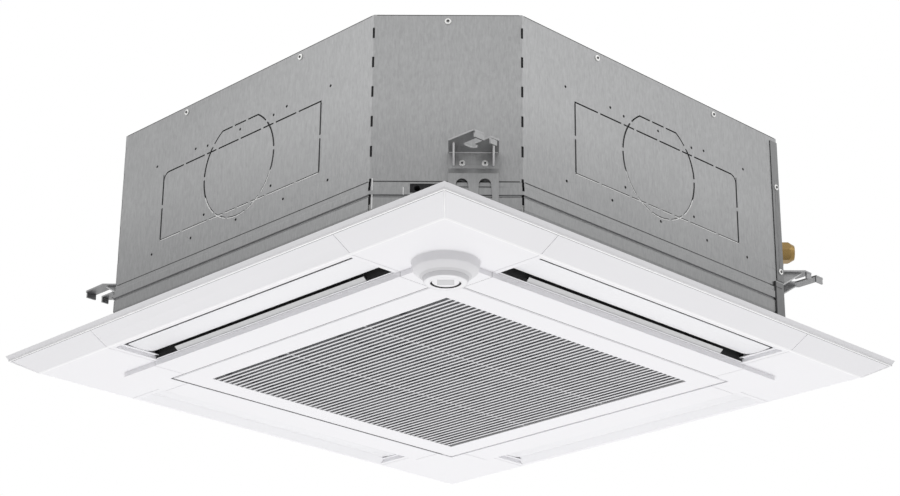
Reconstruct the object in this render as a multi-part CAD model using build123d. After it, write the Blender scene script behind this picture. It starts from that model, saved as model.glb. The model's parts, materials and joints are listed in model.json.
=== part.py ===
from build123d import *
import math
import os

# Four-way ceiling cassette air conditioner: galvanised casing that hangs above a ceiling,
# white decoration panel below it. Millimetres, +Z up.
# Origin: centre of the unit, in the plane of the ceiling's lower face, where the panel seats.
# -Y is the front side, +X the right side. The refrigerant pipes leave at the back right corner.

# ---------------------------------------------------------------- driving dimensions
# decoration panel
PANEL_SIZE = 950.0          # outer edge of the rim, across
RIM_HEIGHT = 7.0            # rim band below the ceiling
RIM_DRAFT = 4.0             # how far the rim band leans in
BEVEL_HEIGHT = 20.0         # sloped border below the rim band
BEVEL_WIDTH = 34.0
STEP_HEIGHT = 7.0           # intake surround stands this much below the corner flats
STEP_HALF = 350.0           # half width of the intake surround
STEP_CORNER = 15.0          # its rounded corners
SKIN = 2.8                  # panel moulding wall
SEAT_WIDTH = 14.0           # ring of the rim that bears on the ceiling
INNER_WALL_DROP = 1.0       # duct walls, intake wall and screw bosses stop below the seat
SEAM = 0.8                  # gap along a visible seam
COVER_SIZE = 210.0          # corner cover, along the rim
COVER_SKIN = 2.4
COVER_POST_DIAMETER = 8.0

# air outlets and vanes
OUTLET_OUTER = 429.0        # outer edge of the outlet in the panel's face
OUTLET_INNER = 352.0        # inner wall of the outlet
OUTLET_THROAT = 403.0       # outer wall of the outlet at the ceiling plane
OUTLET_HALF_LENGTH = 256.0
LINER = 3.0                 # foam lining of the outlet
LINER_RISE = 5.0            # lining stops this much above the corner flats, on the inner wall
LINER_OUTER_RISE = 12.5     # and on the outer wall, which stays white below it
LINER_EAR_LENGTH = 50.0     # deeper end stretch of the lining
LINER_EAR_DROP = 4.0
VANE_INNER_GAP = 15.0       # air gap between the blade and the outlet's inner wall
VANE_OUTER_GAP = 17.0       # and between the blade and the outer edge in the face
VANE_HALF_LENGTH = 249.0
VANE_THICKNESS = 2.6
VANE_RECESS = 6.0           # lowest line of the blade above the corner flats
VANE_CROWN = 1.6            # how far the blade bows down in the middle
VANE_CORNER = 10.0          # rounded inner corners of the blade
VANE_PIVOT_IN = 374.0
VANE_PIVOT_RISE = 16.0      # pivot above the corner flats
VANE_EAR_THICKNESS = 3.0
VANE_EAR_RADIUS = 5.0
VANE_PIN_DIAMETER = 5.0
VANE_OPEN_ANGLE = 75.0
VANE_RIB_SPACING = 82.0
BEARING_CLEARANCE = 0.05    # radial, every pivot pin in its hole
END_WALL = 3.0              # outlet end walls, which carry the vane pins
MOTOR_DIAMETER = 19.0       # vane motors
MOTOR_LENGTH = 16.0

# intake grille
GRILLE_HALF = 294.5
GRILLE_OPENING_HALF = 297.0
GRILLE_DEPTH = 12.0
GRILLE_SKIN = 3.0
SLAT_HALF = 252.0           # half width of the slatted field
SLAT_GAP_COUNT = 50
SLAT_FACE = 3.8             # slat width at the room side
SLAT_BACK = 1.2
SLAT_DEPTH = 2.2
SLAT_RECESS = 0.4
CROSS_RIB_RECESS = 1.6      # cross ribs start this much above the grille face
CROSS_RIB_COUNT = 2
CROSS_RIB_WIDTH = 3.0
HINGE_PIN_DIAMETER = 2.4
HINGE_PIN_IN = 4.0          # hinge axis inside the grille's back edge
HINGE_PIN_RISE = 6.0        # hinge axis above the grille's face
HINGE_PIN_LENGTH = 34.0
HINGE_SPACING = 380.0
HINGE_EYE_RADIUS = 2.4
HINGE_ARM_WIDTH = 14.0
HINGE_NOTCH = 22.0
HINGE_EDGE_CHAMFER = 2.5
CATCH_SPACING = 300.0
CATCH_POST_DIAMETER = 5.0
CATCH_CLEARANCE = 0.6
FILTER_HALF = 262.0
FILTER_DEPTH = 7.0
FILTER_BAR = 10.0
FILTER_NET_THICKNESS = 1.0
FILTER_CELLS = 4

# occupancy sensor in the front right corner cover
SENSOR_IN = 331.0           # centre of the dome, from both middle planes
DOME_RADIUS = 45.0
DOME_SHOULDER_RADIUS = 43.0
DOME_SHOULDER_DROP = 11.5
DOME_NECK_RADIUS = 31.0
DOME_NECK_DROP = 22.0
DOME_FILLET = 1.0
RING_OUTER_RADIUS = 27.0
RING_BORE_RADIUS = 20.5
RING_DROP = 28.5
TURRET_RADIUS = 18.2
TURRET_RECESS = 1.5
LENS_LENGTH = 21.0
LENS_WIDTH = 17.0
SENSOR_TURN = 170.0
SENSOR_SHAFT_DIAMETER = 6.0
SENSOR_MOTOR_DIAMETER = 24.0

# casing
BODY_SIZE = 840.0
BODY_BOTTOM = 2.0
BODY_HEIGHT = 319.0
CHAMFER = 141.0             # cut corner, measured along each side
SHEET = 1.0
BEAD_DEPTH = 2.2            # pressed beads round the casing
BEAD_LEDGE = 1.2            # depth of the upper bead above its ledge
LOWER_BEAD_BOTTOM = 34.0
LOWER_BEAD_TOP = 54.6
UPPER_BEAD_BOTTOM = 55.6
UPPER_BEAD_LEDGE = 68.0
UPPER_BEAD_TOP = 76.0
BEAD_RUN = 1.4              # height over which a bead's edge leans out
BEND_SLOT_WIDTH = 3.2
BEND_SLOT_LENGTH = 15.8
BEND_SLOT_PITCH = 43.6
BEND_SLOT_TOP = 301.5       # top of the highest slot
BEND_SLOT_COUNT = 5
BEAD_SLOTS = ((62.0, 80.0), (33.0, 57.0))
BOTTOM_FLANGE = 24.0        # inward fold under the cut corners
TOP_SCREW_SPREAD = 128.0
TOP_SCREW_Z = 311.0
SCREW_HEAD_DIAMETER = 9.0
SCREW_HEAD_HEIGHT = 1.8
SCREW_RECESS_WIDTH = 1.4
SCREW_SHANK_DIAMETER = 3.6
SCREW_LENGTH = 8.0
TOP_PLATE_EDGE = 20.0
TOP_RIB_HEIGHT = 2.5
TOP_RIB_WIDTH = 12.0
INSULATION = 18.0
INSULATION_TOP = 14.0
LINER_GAP = 0.3

# branch-duct knock-outs on the front and right sides
KNOCKOUT_WIDTH = 350.0
KNOCKOUT_BOTTOM = 121.0
KNOCKOUT_TOP = 227.0
KNOCKOUT_CORNER = 12.0      # the one rounded corner of the rectangle
KNOCKOUT_RADIUS = 77.0
KNOCKOUT_CENTRE_Z = 186.0
KNOCKOUT_FLAT_Z = 252.0
KNOCKOUT_CUT = 2.2
KNOCKOUT_BRIDGE = 5.0       # uncut webs that hold the knock-outs
TOP_LINE_BRIDGES = (0.0, 50.0, 77.0, 126.0)         # from the middle, both ways
BOTTOM_LINE_BRIDGES = (0.0, 28.0, 63.0, 126.0)
CIRCLE_BRIDGES = (2.0, 40.0, -50.0, -74.0)          # angles on the right-hand half
FLAT_TOP_BRIDGE = 15.0
KNOCKOUT_HOLE_DIAMETER = 4.0
DUCT_HOLE_SPREAD = 74.0     # four screw holes round the circle
DUCT_HOLE_RISE = 54.0
DUCT_MIDDLE_RISES = (56.0, -83.0)
FRAME_HOLE_SPREADS = (102.0, 194.0)
FRAME_HOLE_ZS = (244.0, 104.0)

# pipe corner
COVER_LAP = 15.0            # pipe cover laps onto the side faces
COVER_PLATE = 1.2
PIPE_COVER_BOTTOM = 87.0
PIPE_COVER_TOP = 314.0
BASE_PLATE_TOP = 84.0
COVER_SCREW_ZS = (238.0, 102.0)
GAS_SPREAD = 8.0            # pipe places along the corner plate
LIQUID_SPREAD = -34.0
PIPE_Z = 171.0
GAS_DIAMETER = 15.88
LIQUID_DIAMETER = 9.52
GAS_NUT_ACROSS_FLATS = 29.0
LIQUID_NUT_ACROSS_FLATS = 22.0
GAS_THREAD_DIAMETER = 22.2
LIQUID_THREAD_DIAMETER = 15.9
UNION_WALL = 1.5            # collar behind the nut, outside the thread
NUT_LENGTH = 22.0
NUT_NOSE = 11.0             # rounded outer end of the nut
THREAD_END_GAP = 0.5        # between the union's thread and the nut's shoulder
PIPE_CLEARANCE = 0.15       # radial, site pipe in the nut
GAS_NUT_REACH = 33.0        # nut stands this far outside the corner plate
LIQUID_NUT_REACH = 22.0
PIPE_HOLE_MARGIN = 5.0      # hole in the corner plate, wider than the nut by this on each side

# cable entry in the front right cut corner
CABLE_ENTRY_OFFSET = -29.0  # centre, along the corner plate
CABLE_ENTRY_WIDTH = 36.0
CABLE_ENTRY_HEIGHT = 12.6
CABLE_DIAMETER = 8.0
CABLE_SPREAD = 9.0
BUSHING_FLANGE = 0.6
BUSHING_FLANGE_THICKNESS = 1.5

# hanger brackets
ROD_PITCH_X = 780.0
ROD_PITCH_Y = 680.0
ROD_SEAT_RADIUS = 6.0
SLOT_MOUTH_OFFSET = 10.0    # mouth of the slot, beside the rod's seat
HANGER_SHEET = 2.5
HANGER_WIDTH = 66.0
HANGER_Z = 117.0            # underside of the rod plate
HANGER_SHOULDER = 39.0
HANGER_APEX = 71.0
HANGER_LIP = 8.0
HANGER_JOGGLE_TOP = 94.0
HANGER_JOGGLE_BOTTOM = 86.0
HANGER_JOGGLE = 2.8
HANGER_BOTTOM = 32.0
HANGER_HOLE_SPREAD = 15.0
HANGER_HOLE_RADIUS = 8.0
HANGER_HOLE_TOP = 78.7
HANGER_HOLE_BOTTOM = 44.0
HANGER_HOLE_FLARE = 2.0
HANGER_SCREW_Z = 101.4
GUSSET_SPREAD = 26.0
GUSSET_REACH = 34.0         # out along the rod plate
GUSSET_DROP = 20.0          # down along the apron

# fan and motor
FAN_RADIUS = 238.0
FAN_INLET_RADIUS = 168.0
FAN_BOTTOM = 92.0
FAN_TOP = 262.0
FAN_SHROUD_DROP = 34.0      # shroud rises this much from inlet to rim
FAN_PLATE = 3.0
FAN_BLADES = 7
BLADE_THICKNESS = 4.0
BLADE_INNER_RADIUS = 170.0
BLADE_SWEEP = 50.0          # degrees a blade falls back from root to tip
DOME_TOP_RADIUS = 118.0
DOME_BOTTOM_RADIUS = 92.0
FAN_DOME_Z = 172.0
SHAFT_DIAMETER = 12.0
FAN_NUT_ACROSS_FLATS = 19.0
FAN_NUT_HEIGHT = 8.0
FAN_MOTOR_RADIUS = 74.0
FAN_MOTOR_BOTTOM = 192.0
MOTOR_LUG_RADIUS = 96.0
MOTOR_LUGS = 3
STUD_DIAMETER = 6.0
RUBBER_RADIUS = 10.0

# bell mouth
BELL_PLATE_Z = 38.0
BELL_WALL = 2.5
BELL_HALF = 262.0
BELL_CORNER = 60.0
BELL_FLARE_RADIUS = 197.0
BELL_THROAT_RADIUS = 160.0
BELL_TOP = 98.0

# heat exchanger
COIL_HALF = 325.0
COIL_DEPTH = 40.0
COIL_CORNER = 110.0
COIL_END = 222.0            # where the coil stops beside the pipe corner
COIL_PLATE = 2.0
COIL_SKIN = 2.0             # the fin pack is a closed block with this wall
COIL_ROWS = 2
COIL_TUBE_DIAMETER = 9.5
COIL_BEND_PITCH = 42.0
COIL_BEND_ZS = (58.0, 98.0, 138.0, 200.0, 240.0, 280.0)

# drain pan
PAN_BOTTOM = BODY_BOTTOM
PAN_TOP = 44.0
PAN_THROAT_HALF = 250.0
TROUGH_FLOOR = 22.0
TROUGH_MARGIN = 5.0
PAN_OUTLET_OUTER = 400.0
PAN_OUTLET_INNER = 355.0
PAN_OUTLET_HALF_LENGTH = 250.0
PUMP_IN = 318.0             # pump centre from both middle planes, back left corner
PUMP_RADIUS = 24.0
PUMP_HEIGHT = 92.0
DRAIN_SOCKET_DIAMETER = 32.0
DRAIN_SOCKET_BORE = 25.0
DRAIN_SOCKET_Z = 232.0
DRAIN_SOCKET_REACH = 40.0
HOSE_DIAMETER = 18.0
FLOAT_STEM_DIAMETER = 6.0
FLOAT_DIAMETER = 18.0
FLOAT_HEIGHT = 14.0
FLOAT_TRAVEL = 8.0
FLOAT_SIDE_STEP = 62.0      # float stem beside the pump, along the corner

# electrical box
BOX_LENGTH = 250.0
BOARD_GAP = 8.0             # board to the box's end
TERMINAL_LENGTH = 62.0
TERMINAL_GAP = 10.0         # between board and terminal strip
RELAY_SIZE = 30.0
CAPACITOR_DIAMETER = 18.0
CAPACITOR_PITCH = 30.0
BOX_DEPTH = 58.0
BOX_NEAR = 203.0            # inner side of the box, from the middle
BOX_BOTTOM = -4.0
BOARD_THICKNESS = 1.6

# panel fixings
PANEL_BOLT_X = 385.0
PANEL_BOLT_Y = 300.0
PANEL_BOLT_DIAMETER = 5.0
PANEL_BOLT_HEAD = 10.0
PANEL_BOSS_DIAMETER = 16.0
BOLT_CLEARANCE = 0.5
GASKET_BORDER = 12.0

# ---------------------------------------------------------------- derived places
HALF = PANEL_SIZE / 2
FLAT_Z = -RIM_HEIGHT - BEVEL_HEIGHT             # corner flats
FACE_Z = FLAT_Z - STEP_HEIGHT                   # intake surround and grille face
RIM_FOOT = HALF - RIM_DRAFT
FLAT_HALF = RIM_FOOT - BEVEL_WIDTH
COVER_EDGE = HALF - COVER_SIZE
BODY_HALF = BODY_SIZE / 2
BODY_TOP = BODY_BOTTOM + BODY_HEIGHT
CORNER_SUM = 2 * BODY_HALF - CHAMFER            # |x| + |y| on a cut corner
CORNER_OUT = CORNER_SUM / math.sqrt(2)          # cut corner from the axis
CORNER_HALF_WIDTH = CHAMFER / math.sqrt(2)
GRILLE_BACK = FACE_Z + GRILLE_DEPTH
HINGE_Y = GRILLE_HALF - HINGE_PIN_IN
HINGE_Z = FACE_Z + HINGE_PIN_RISE
VANE_Z = FLAT_Z + VANE_RECESS
VANE_INNER = OUTLET_INNER + VANE_INNER_GAP
VANE_OUTER = OUTLET_OUTER - VANE_OUTER_GAP
VANE_PIVOT_Z = FLAT_Z + VANE_PIVOT_RISE
WALL_TOP = -INNER_WALL_DROP
CABLE_ENTRY_Z = (UPPER_BEAD_BOTTOM + UPPER_BEAD_TOP) / 2 + 0.2
SIDES = {"front": 0, "right": 90, "back": 180, "left": 270}


# ---------------------------------------------------------------- helpers
def square(half, z):
    return Pos(0, 0, z) * Rectangle(2 * half, 2 * half)


def tower(levels):
    """Square tower through (half width, height) levels, with straight sides between them."""
    return loft([square(half, z) for half, z in levels], ruled=True)


def octagon(off, z):
    """Outline of the casing, moved out by off."""
    half = BODY_HALF + off
    cut = CHAMFER + (2 - math.sqrt(2)) * off
    near = half - cut
    points = [(near, -half), (half, -near), (half, near), (near, half)]
    points += [(-x, -y) for x, y in points]
    return Pos(0, 0, z) * make_face(Polyline(*points, close=True))


def casing_tower(levels):
    """Solid with the casing's outline through (offset, height) levels."""
    return loft([octagon(off, z) for off, z in levels], ruled=True)


def block(x0, x1, y0, y1, z0, z1):
    size = Box(x1 - x0, y1 - y0, z1 - z0)
    return Pos((x0 + x1) / 2, (y0 + y1) / 2, (z0 + z1) / 2) * size


def rod(radius, z0, z1):
    return Pos(0, 0, (z0 + z1) / 2) * Cylinder(radius, z1 - z0)


def ring(outer, inner, z0, z1):
    return rod(outer, z0, z1) - rod(inner, z0 - 1, z1 + 1)


def turned(points):
    """Solid of revolution about Z through (radius, height) points."""
    profile = Plane.XZ * make_face(Polyline(*points, close=True))
    return revolve(profile, Axis.Z)


def on_side(name, shape):
    """Turns a shape made for the front side to another side."""
    return Rot(0, 0, SIDES[name]) * shape


def at_corner(quarter):
    """Frame of a cut corner: local -Y points out, local X runs along the corner plate."""
    angle = 45 + 90 * quarter
    return Rot(0, 0, angle) * Pos(0, -CORNER_OUT, 0)


def hex_prism(across_flats, z0, z1):
    radius = across_flats / math.sqrt(3)
    return Pos(0, 0, z0) * extrude(RegularPolygon(radius, 6), z1 - z0)


def screw(shank_length):
    """Cross-recessed pan-head screw along +Z: the head's seat is at 0, the shank goes down."""
    head = rod(SCREW_HEAD_DIAMETER / 2, 0, SCREW_HEAD_HEIGHT)
    head = chamfer(head.edges().group_by(Axis.Z)[-1], SCREW_HEAD_HEIGHT / 3)
    recess = Box(SCREW_HEAD_DIAMETER / 2, SCREW_RECESS_WIDTH, SCREW_HEAD_HEIGHT)
    recess += Box(SCREW_RECESS_WIDTH, SCREW_HEAD_DIAMETER / 2, SCREW_HEAD_HEIGHT)
    return head + rod(SCREW_SHANK_DIAMETER / 2, -shank_length, 0) - Pos(0, 0, SCREW_HEAD_HEIGHT) * recess


def mirrored_y(shape):
    return mirror(shape, Plane.XZ)


def mirrored_x(shape):
    return mirror(shape, Plane.YZ)


def group(shapes):
    """Separate solids under one node."""
    return Compound([solid for shape in shapes for solid in shape.solids()])


# ---------------------------------------------------------------- casing
def wrap_levels(inset):
    """Profile of the side sheet: two pressed beads, the upper one with a ledge."""
    run = BEAD_RUN
    profile = [(0, BODY_BOTTOM), (0, LOWER_BEAD_BOTTOM), (BEAD_LEDGE, LOWER_BEAD_BOTTOM + 2 * run)]
    profile += [(BEAD_LEDGE, LOWER_BEAD_TOP - run), (0, LOWER_BEAD_TOP), (0, UPPER_BEAD_BOTTOM)]
    profile += [(BEAD_DEPTH, UPPER_BEAD_BOTTOM + run), (BEAD_DEPTH, UPPER_BEAD_LEDGE - run)]
    profile += [(BEAD_LEDGE, UPPER_BEAD_LEDGE + run), (BEAD_LEDGE, UPPER_BEAD_TOP - run)]
    profile += [(0, UPPER_BEAD_TOP), (0, BODY_TOP)]
    return [(out - inset, z) for out, z in profile]


def past_corner(reach, z0, z1):
    """Everything of the back right corner beyond |x| + |y| = reach, between two heights."""
    depth = 300
    near = reach / math.sqrt(2)
    return Rot(0, 0, -45) * block(-depth, depth, near, near + depth, z0, z1)


def bend_slots():
    """Perforations that let the sheet fold on the casing's eight bend lines."""
    tops = [BEND_SLOT_TOP - i * BEND_SLOT_PITCH for i in range(BEND_SLOT_COUNT)]
    spans = [(top - BEND_SLOT_LENGTH, top) for top in tops] + list(BEAD_SLOTS)
    near = BODY_HALF - CHAMFER
    cutters = []
    for low, high in spans:
        cutter = Pos(near, -BODY_HALF, (low + high) / 2) * Rot(0, 0, 22.5)
        cutters.append(cutter * Box(BEND_SLOT_WIDTH, 4 * BEAD_DEPTH, high - low))
    half_side = cutters + [mirrored_x(cutter) for cutter in cutters]
    return [on_side(name, cutter) for name in SIDES for cutter in half_side]


def line_band(outline):
    """Narrow band that follows a closed outline."""
    half = KNOCKOUT_CUT / 2
    return offset(outline, half, kind=Kind.INTERSECTION) - offset(outline, -half, kind=Kind.INTERSECTION)


def knockout_rectangle(far):
    """Rectangular line with its bridges; the upper corner on the far side is rounded."""
    half, rise = KNOCKOUT_WIDTH / 2, (KNOCKOUT_TOP - KNOCKOUT_BOTTOM) / 2
    outline = Rectangle(2 * half, 2 * rise)
    corner = outline.vertices().sort_by(Axis.X)[-2:] if far > 0 else outline.vertices().sort_by(Axis.X)[:2]
    outline = fillet(corner.sort_by(Axis.Y)[-1], KNOCKOUT_CORNER)
    bridges = [Rectangle(3 * half, KNOCKOUT_BRIDGE)]
    for way in (-1, 1):
        bridges += [Pos(way * x, rise) * Rectangle(KNOCKOUT_BRIDGE, rise) for x in TOP_LINE_BRIDGES]
        bridges += [Pos(way * x, -rise) * Rectangle(KNOCKOUT_BRIDGE, rise) for x in BOTTOM_LINE_BRIDGES]
    return Pos(0, (KNOCKOUT_TOP + KNOCKOUT_BOTTOM) / 2) * (line_band(outline) - bridges)


def knockout_circle():
    """Round line with a flat top and its bridges."""
    r = KNOCKOUT_RADIUS
    rise = KNOCKOUT_FLAT_Z - KNOCKOUT_CENTRE_Z
    outline = Circle(r) & Pos(0, rise - r) * Rectangle(2 * r, 2 * r)
    bridges = []
    for angle in CIRCLE_BRIDGES:
        for turned_to in (angle, 180 - angle):
            bridges.append(Rot(0, 0, turned_to) * Pos(r, 0) * Rectangle(r, KNOCKOUT_BRIDGE))
    for x in (-FLAT_TOP_BRIDGE, FLAT_TOP_BRIDGE):
        bridges.append(Pos(x, rise) * Rectangle(KNOCKOUT_BRIDGE, r / 2))
    return Pos(0, KNOCKOUT_CENTRE_Z) * (line_band(outline) - bridges)


def knockout_holes():
    """Places of the screw holes round one knock-out."""
    holes = [(s * DUCT_HOLE_SPREAD, KNOCKOUT_CENTRE_Z + t * DUCT_HOLE_RISE)
             for s in (-1, 1) for t in (-1, 1)]
    holes += [(0, KNOCKOUT_CENTRE_Z + rise) for rise in DUCT_MIDDLE_RISES]
    holes += [(s * spread, z) for s in (-1, 1) for spread in FRAME_HOLE_SPREADS
              for z in FRAME_HOLE_ZS]
    return holes


def knockout_cuts(far):
    """Dashed cuts and screw holes of one knock-out, for the front side."""
    lines = knockout_rectangle(far) + knockout_circle()
    for x, z in knockout_holes():
        lines += Pos(x, z) * Circle(KNOCKOUT_HOLE_DIAMETER / 2)
    return Pos(0, -BODY_HALF, 0) * extrude(Plane.XZ * lines, 2 * SHEET, both=True)


def bottom_flanges():
    """Inward folds under the cut corners, where the panel screws hold."""
    flange = casing_tower([(-SHEET / 2, BODY_BOTTOM), (-SHEET / 2, BODY_BOTTOM + SHEET)])
    inner = CORNER_SUM - BOTTOM_FLANGE * math.sqrt(2)
    reach = 2 * BODY_HALF
    keep = Rot(0, 0, 45) * Box(reach, reach, 4 * SHEET)
    core = Pos(0, 0, BODY_BOTTOM) * Rot(0, 0, 45) * Box(
        inner * math.sqrt(2), inner * math.sqrt(2), 6 * SHEET)
    return (flange & Pos(0, 0, BODY_BOTTOM) * keep) - core


def casing_wrap():
    sheet = casing_tower(wrap_levels(0)) - casing_tower(
        [(-SHEET, BODY_BOTTOM - 1)] + wrap_levels(SHEET)[1:-1] + [(-SHEET, BODY_TOP + 1)])
    sheet += bottom_flanges()
    cuts = bend_slots()
    cuts += [on_side(name, knockout_cuts(far)) for name, far in (("front", -1), ("right", 1))]
    cuts += [panel_bolt_hole(x, y) for x, y in panel_bolt_places()]
    cuts.append(cable_entry_block(SEAM / 2, -6, 6))
    sheet = sheet - cuts
    window = past_corner(CORNER_SUM - COVER_LAP / 3, HANGER_Z + 2 * HANGER_SHEET, PIPE_COVER_TOP - 4)
    lower = past_corner(CORNER_SUM - 1.5 * COVER_LAP, BODY_BOTTOM + 2 * SHEET, BASE_PLATE_TOP)
    return sheet - window - lower


def top_plate():
    gap = 0.1
    outer = casing_tower([(-SHEET - gap, BODY_TOP - TOP_PLATE_EDGE), (-SHEET - gap, BODY_TOP)])
    inner = casing_tower([(-2 * SHEET - gap, BODY_TOP - TOP_PLATE_EDGE - 1),
                          (-2 * SHEET - gap, BODY_TOP - SHEET)])
    plate = outer - inner
    rib_length = BODY_HALF * 0.62
    rib = Pos(0, -BODY_HALF * 0.56, BODY_TOP + TOP_RIB_HEIGHT / 2) * Box(
        TOP_RIB_WIDTH, rib_length, TOP_RIB_HEIGHT)
    rib = chamfer(rib.edges().group_by(Axis.Z)[-1], TOP_RIB_HEIGHT * 0.8)
    for i in range(8):
        plate += Rot(0, 0, 45 * i) * rib
    holes = [motor_lug_place(i) * rod(STUD_DIAMETER / 2 + BOLT_CLEARANCE, BODY_TOP - 3, BODY_TOP + 1)
             for i in range(MOTOR_LUGS)]
    return plate - holes


def pipe_places():
    """Place along the corner plate and size across flats of each pipe's nut."""
    return ((GAS_SPREAD, GAS_NUT_ACROSS_FLATS), (LIQUID_SPREAD, LIQUID_NUT_ACROSS_FLATS))


def pipe_axis(spread):
    """Frame of a pipe outlet at the back right corner: local +Z points out of the corner."""
    return Rot(0, 0, -45) * Pos(spread, CORNER_OUT, PIPE_Z) * Rot(-90, 0, 0)


def pipe_cover():
    outer = casing_tower([(COVER_PLATE, PIPE_COVER_BOTTOM), (COVER_PLATE, PIPE_COVER_TOP)])
    inner = casing_tower([(0, PIPE_COVER_BOTTOM - 1), (0, PIPE_COVER_TOP + 1)])
    reach = CORNER_SUM - COVER_LAP
    plate = (outer - inner) & past_corner(reach, PIPE_COVER_BOTTOM, PIPE_COVER_TOP)
    for spread, flats in pipe_places():
        plate -= pipe_axis(spread) * rod(flats / 2 + PIPE_HOLE_MARGIN, -6, 6)
    room = HANGER_WIDTH / 2 + 2
    notch = block(-room, room, -10, 10, PIPE_COVER_BOTTOM - 1, HANGER_Z + 2 * HANGER_SHEET)
    return plate - mirrored_y(corner_seat() * notch)


def pipe_cover_base():
    low = BODY_BOTTOM + 2 * SHEET
    outer = casing_tower([(0, low), (0, BASE_PLATE_TOP)])
    inner = casing_tower([(-SHEET, low - 1), (-SHEET, BASE_PLATE_TOP + 1)])
    return (outer - inner) & past_corner(CORNER_SUM - 1.4 * COVER_LAP, low, BASE_PLATE_TOP)


def casing_screw_places():
    places = []
    for name in SIDES:
        turn = Rot(0, 0, SIDES[name])
        for x in (-TOP_SCREW_SPREAD, TOP_SCREW_SPREAD):
            places.append(turn * Pos(x, -BODY_HALF, TOP_SCREW_Z) * Rot(90, 0, 0))
    for quarter in range(4):
        if quarter != 1:
            places.append(at_corner(quarter) * Pos(0, 0, TOP_SCREW_Z) * Rot(90, 0, 0))
    return places


def cover_screw_places():
    places = []
    out = BODY_HALF + COVER_PLATE
    along = BODY_HALF - CHAMFER - COVER_LAP / 2
    for z in COVER_SCREW_ZS:
        places.append(Pos(out, along, z) * Rot(0, 90, 0))
        places.append(Pos(along, out, z) * Rot(-90, 0, 0))
    return places


def casing_screws():
    return group([place * screw(SCREW_LENGTH) for place in casing_screw_places() + cover_screw_places()])


def screw_clearances(places):
    return [place * rod(SCREW_SHANK_DIAMETER / 2, -SCREW_LENGTH, 1) for place in places]


def casing_insulation():
    outer = -SHEET - LINER_GAP
    lip = TOP_PLATE_EDGE + LINER_GAP
    top = BODY_TOP - SHEET - LINER_GAP
    body = casing_tower([(outer, PAN_TOP + LINER_GAP), (outer, BODY_TOP - lip)])
    body += casing_tower([(outer - SHEET - LINER_GAP, BODY_TOP - lip), (outer - SHEET - LINER_GAP, top)])
    room = casing_tower([(outer - INSULATION, PAN_TOP - 1), (outer - INSULATION, top - INSULATION_TOP)])
    body -= room
    body -= rod(MOTOR_LUG_RADIUS + RUBBER_RADIUS + 6, 0, BODY_TOP)
    for spread, flats in pipe_places():
        body -= pipe_axis(spread) * rod(flats / 2 + PIPE_HOLE_MARGIN, -2 * INSULATION, 6)
    body -= drain_axis() * rod(DRAIN_SOCKET_DIAMETER / 2 + 1, -2 * INSULATION, 6)
    body -= cable_entry_block(SEAM / 2, -2 * INSULATION, 6)
    return body - screw_clearances(casing_screw_places() + cover_screw_places() + hanger_screw_places())


def cable_entry_block(grow, inner, outer):
    """Block through the cable entry, between two distances out from the cut corner."""
    half = CABLE_ENTRY_WIDTH / 2 + grow
    rise = CABLE_ENTRY_HEIGHT / 2 + grow
    x, z = CABLE_ENTRY_OFFSET, CABLE_ENTRY_Z
    return at_corner(0) * block(x - half, x + half, -outer, -inner, z - rise, z + rise)


def cable_axis(side):
    """Axis of one cable, local +Z pointing out."""
    x = CABLE_ENTRY_OFFSET + side * CABLE_SPREAD
    return at_corner(0) * Pos(x, 0, CABLE_ENTRY_Z) * Rot(90, 0, 0)


def cable_bushing():
    """Plastic bushing for the power and signal cables."""
    sheet_back = BEAD_DEPTH - SHEET
    bushing = cable_entry_block(0, -SHEET - INSULATION, BEAD_DEPTH - SEAM)
    seat = sheet_back - 0.1
    low = CABLE_ENTRY_Z - CABLE_ENTRY_HEIGHT / 2 - BUSHING_FLANGE
    half = CABLE_ENTRY_WIDTH / 2 + 4 * BUSHING_FLANGE
    x = CABLE_ENTRY_OFFSET
    flange = block(x - half, x + half, -seat, BUSHING_FLANGE_THICKNESS - seat, low, UPPER_BEAD_LEDGE - 2 * BEAD_RUN)
    bushing += at_corner(0) * flange
    for side in (-1, 1):
        bushing -= cable_axis(side) * rod(CABLE_DIAMETER / 2, -2 * INSULATION, INSULATION)
    return bushing


# ---------------------------------------------------------------- hanger brackets
def corner_seat():
    """Frame of the front right cut corner, centred on its hanger bracket."""
    along = (ROD_PITCH_X - ROD_PITCH_Y) / 2 / math.sqrt(2)
    return at_corner(0) * Pos(along, 0, 0)


def rod_slot(z0, z1):
    """Slot for the suspension rod: in from the right, then sideways into a round seat."""
    x, y = ROD_PITCH_X / 2, -ROD_PITCH_Y / 2
    mouth_y = y - SLOT_MOUTH_OFFSET
    reach = 60
    r = ROD_SEAT_RADIUS
    height = (z0 + z1) / 2
    seat = Pos(x, y, height) * Cylinder(r, z1 - z0)
    turn = Pos(x, mouth_y, height) * Cylinder(r, z1 - z0)
    join = block(x - r, x + r, mouth_y, y, z0, z1)
    return seat + turn + join + block(x, x + reach, mouth_y - r, mouth_y + r, z0, z1)


def hanger_plate():
    half = HANGER_WIDTH / 2
    outline = [(-half, 0), (half, 0), (half, HANGER_SHOULDER), (0, HANGER_APEX), (-half, HANGER_SHOULDER)]
    plate = extrude(make_face(Polyline(*[(x, -y) for x, y in outline], close=True)), HANGER_SHEET)
    apex = plate.edges().filter_by(Axis.Z).sort_by(Axis.Y)[0]
    return Pos(0, 0, HANGER_Z) * fillet(apex, HANGER_SHEET)


def hanger_apron():
    """Vertical part: flat against the casing, then stepped out over the beads."""
    t = HANGER_SHEET
    top = HANGER_Z + t
    out = HANGER_JOGGLE
    points = [(0, top), (0, HANGER_JOGGLE_TOP), (out, HANGER_JOGGLE_BOTTOM), (out, HANGER_BOTTOM)]
    points += [(out + t, HANGER_BOTTOM), (out + t, HANGER_JOGGLE_BOTTOM), (t, HANGER_JOGGLE_TOP), (t, top)]
    profile = Plane.YZ * make_face(Polyline(*[(-y, z) for y, z in points], close=True))
    return extrude(profile, HANGER_WIDTH / 2, both=True)


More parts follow.
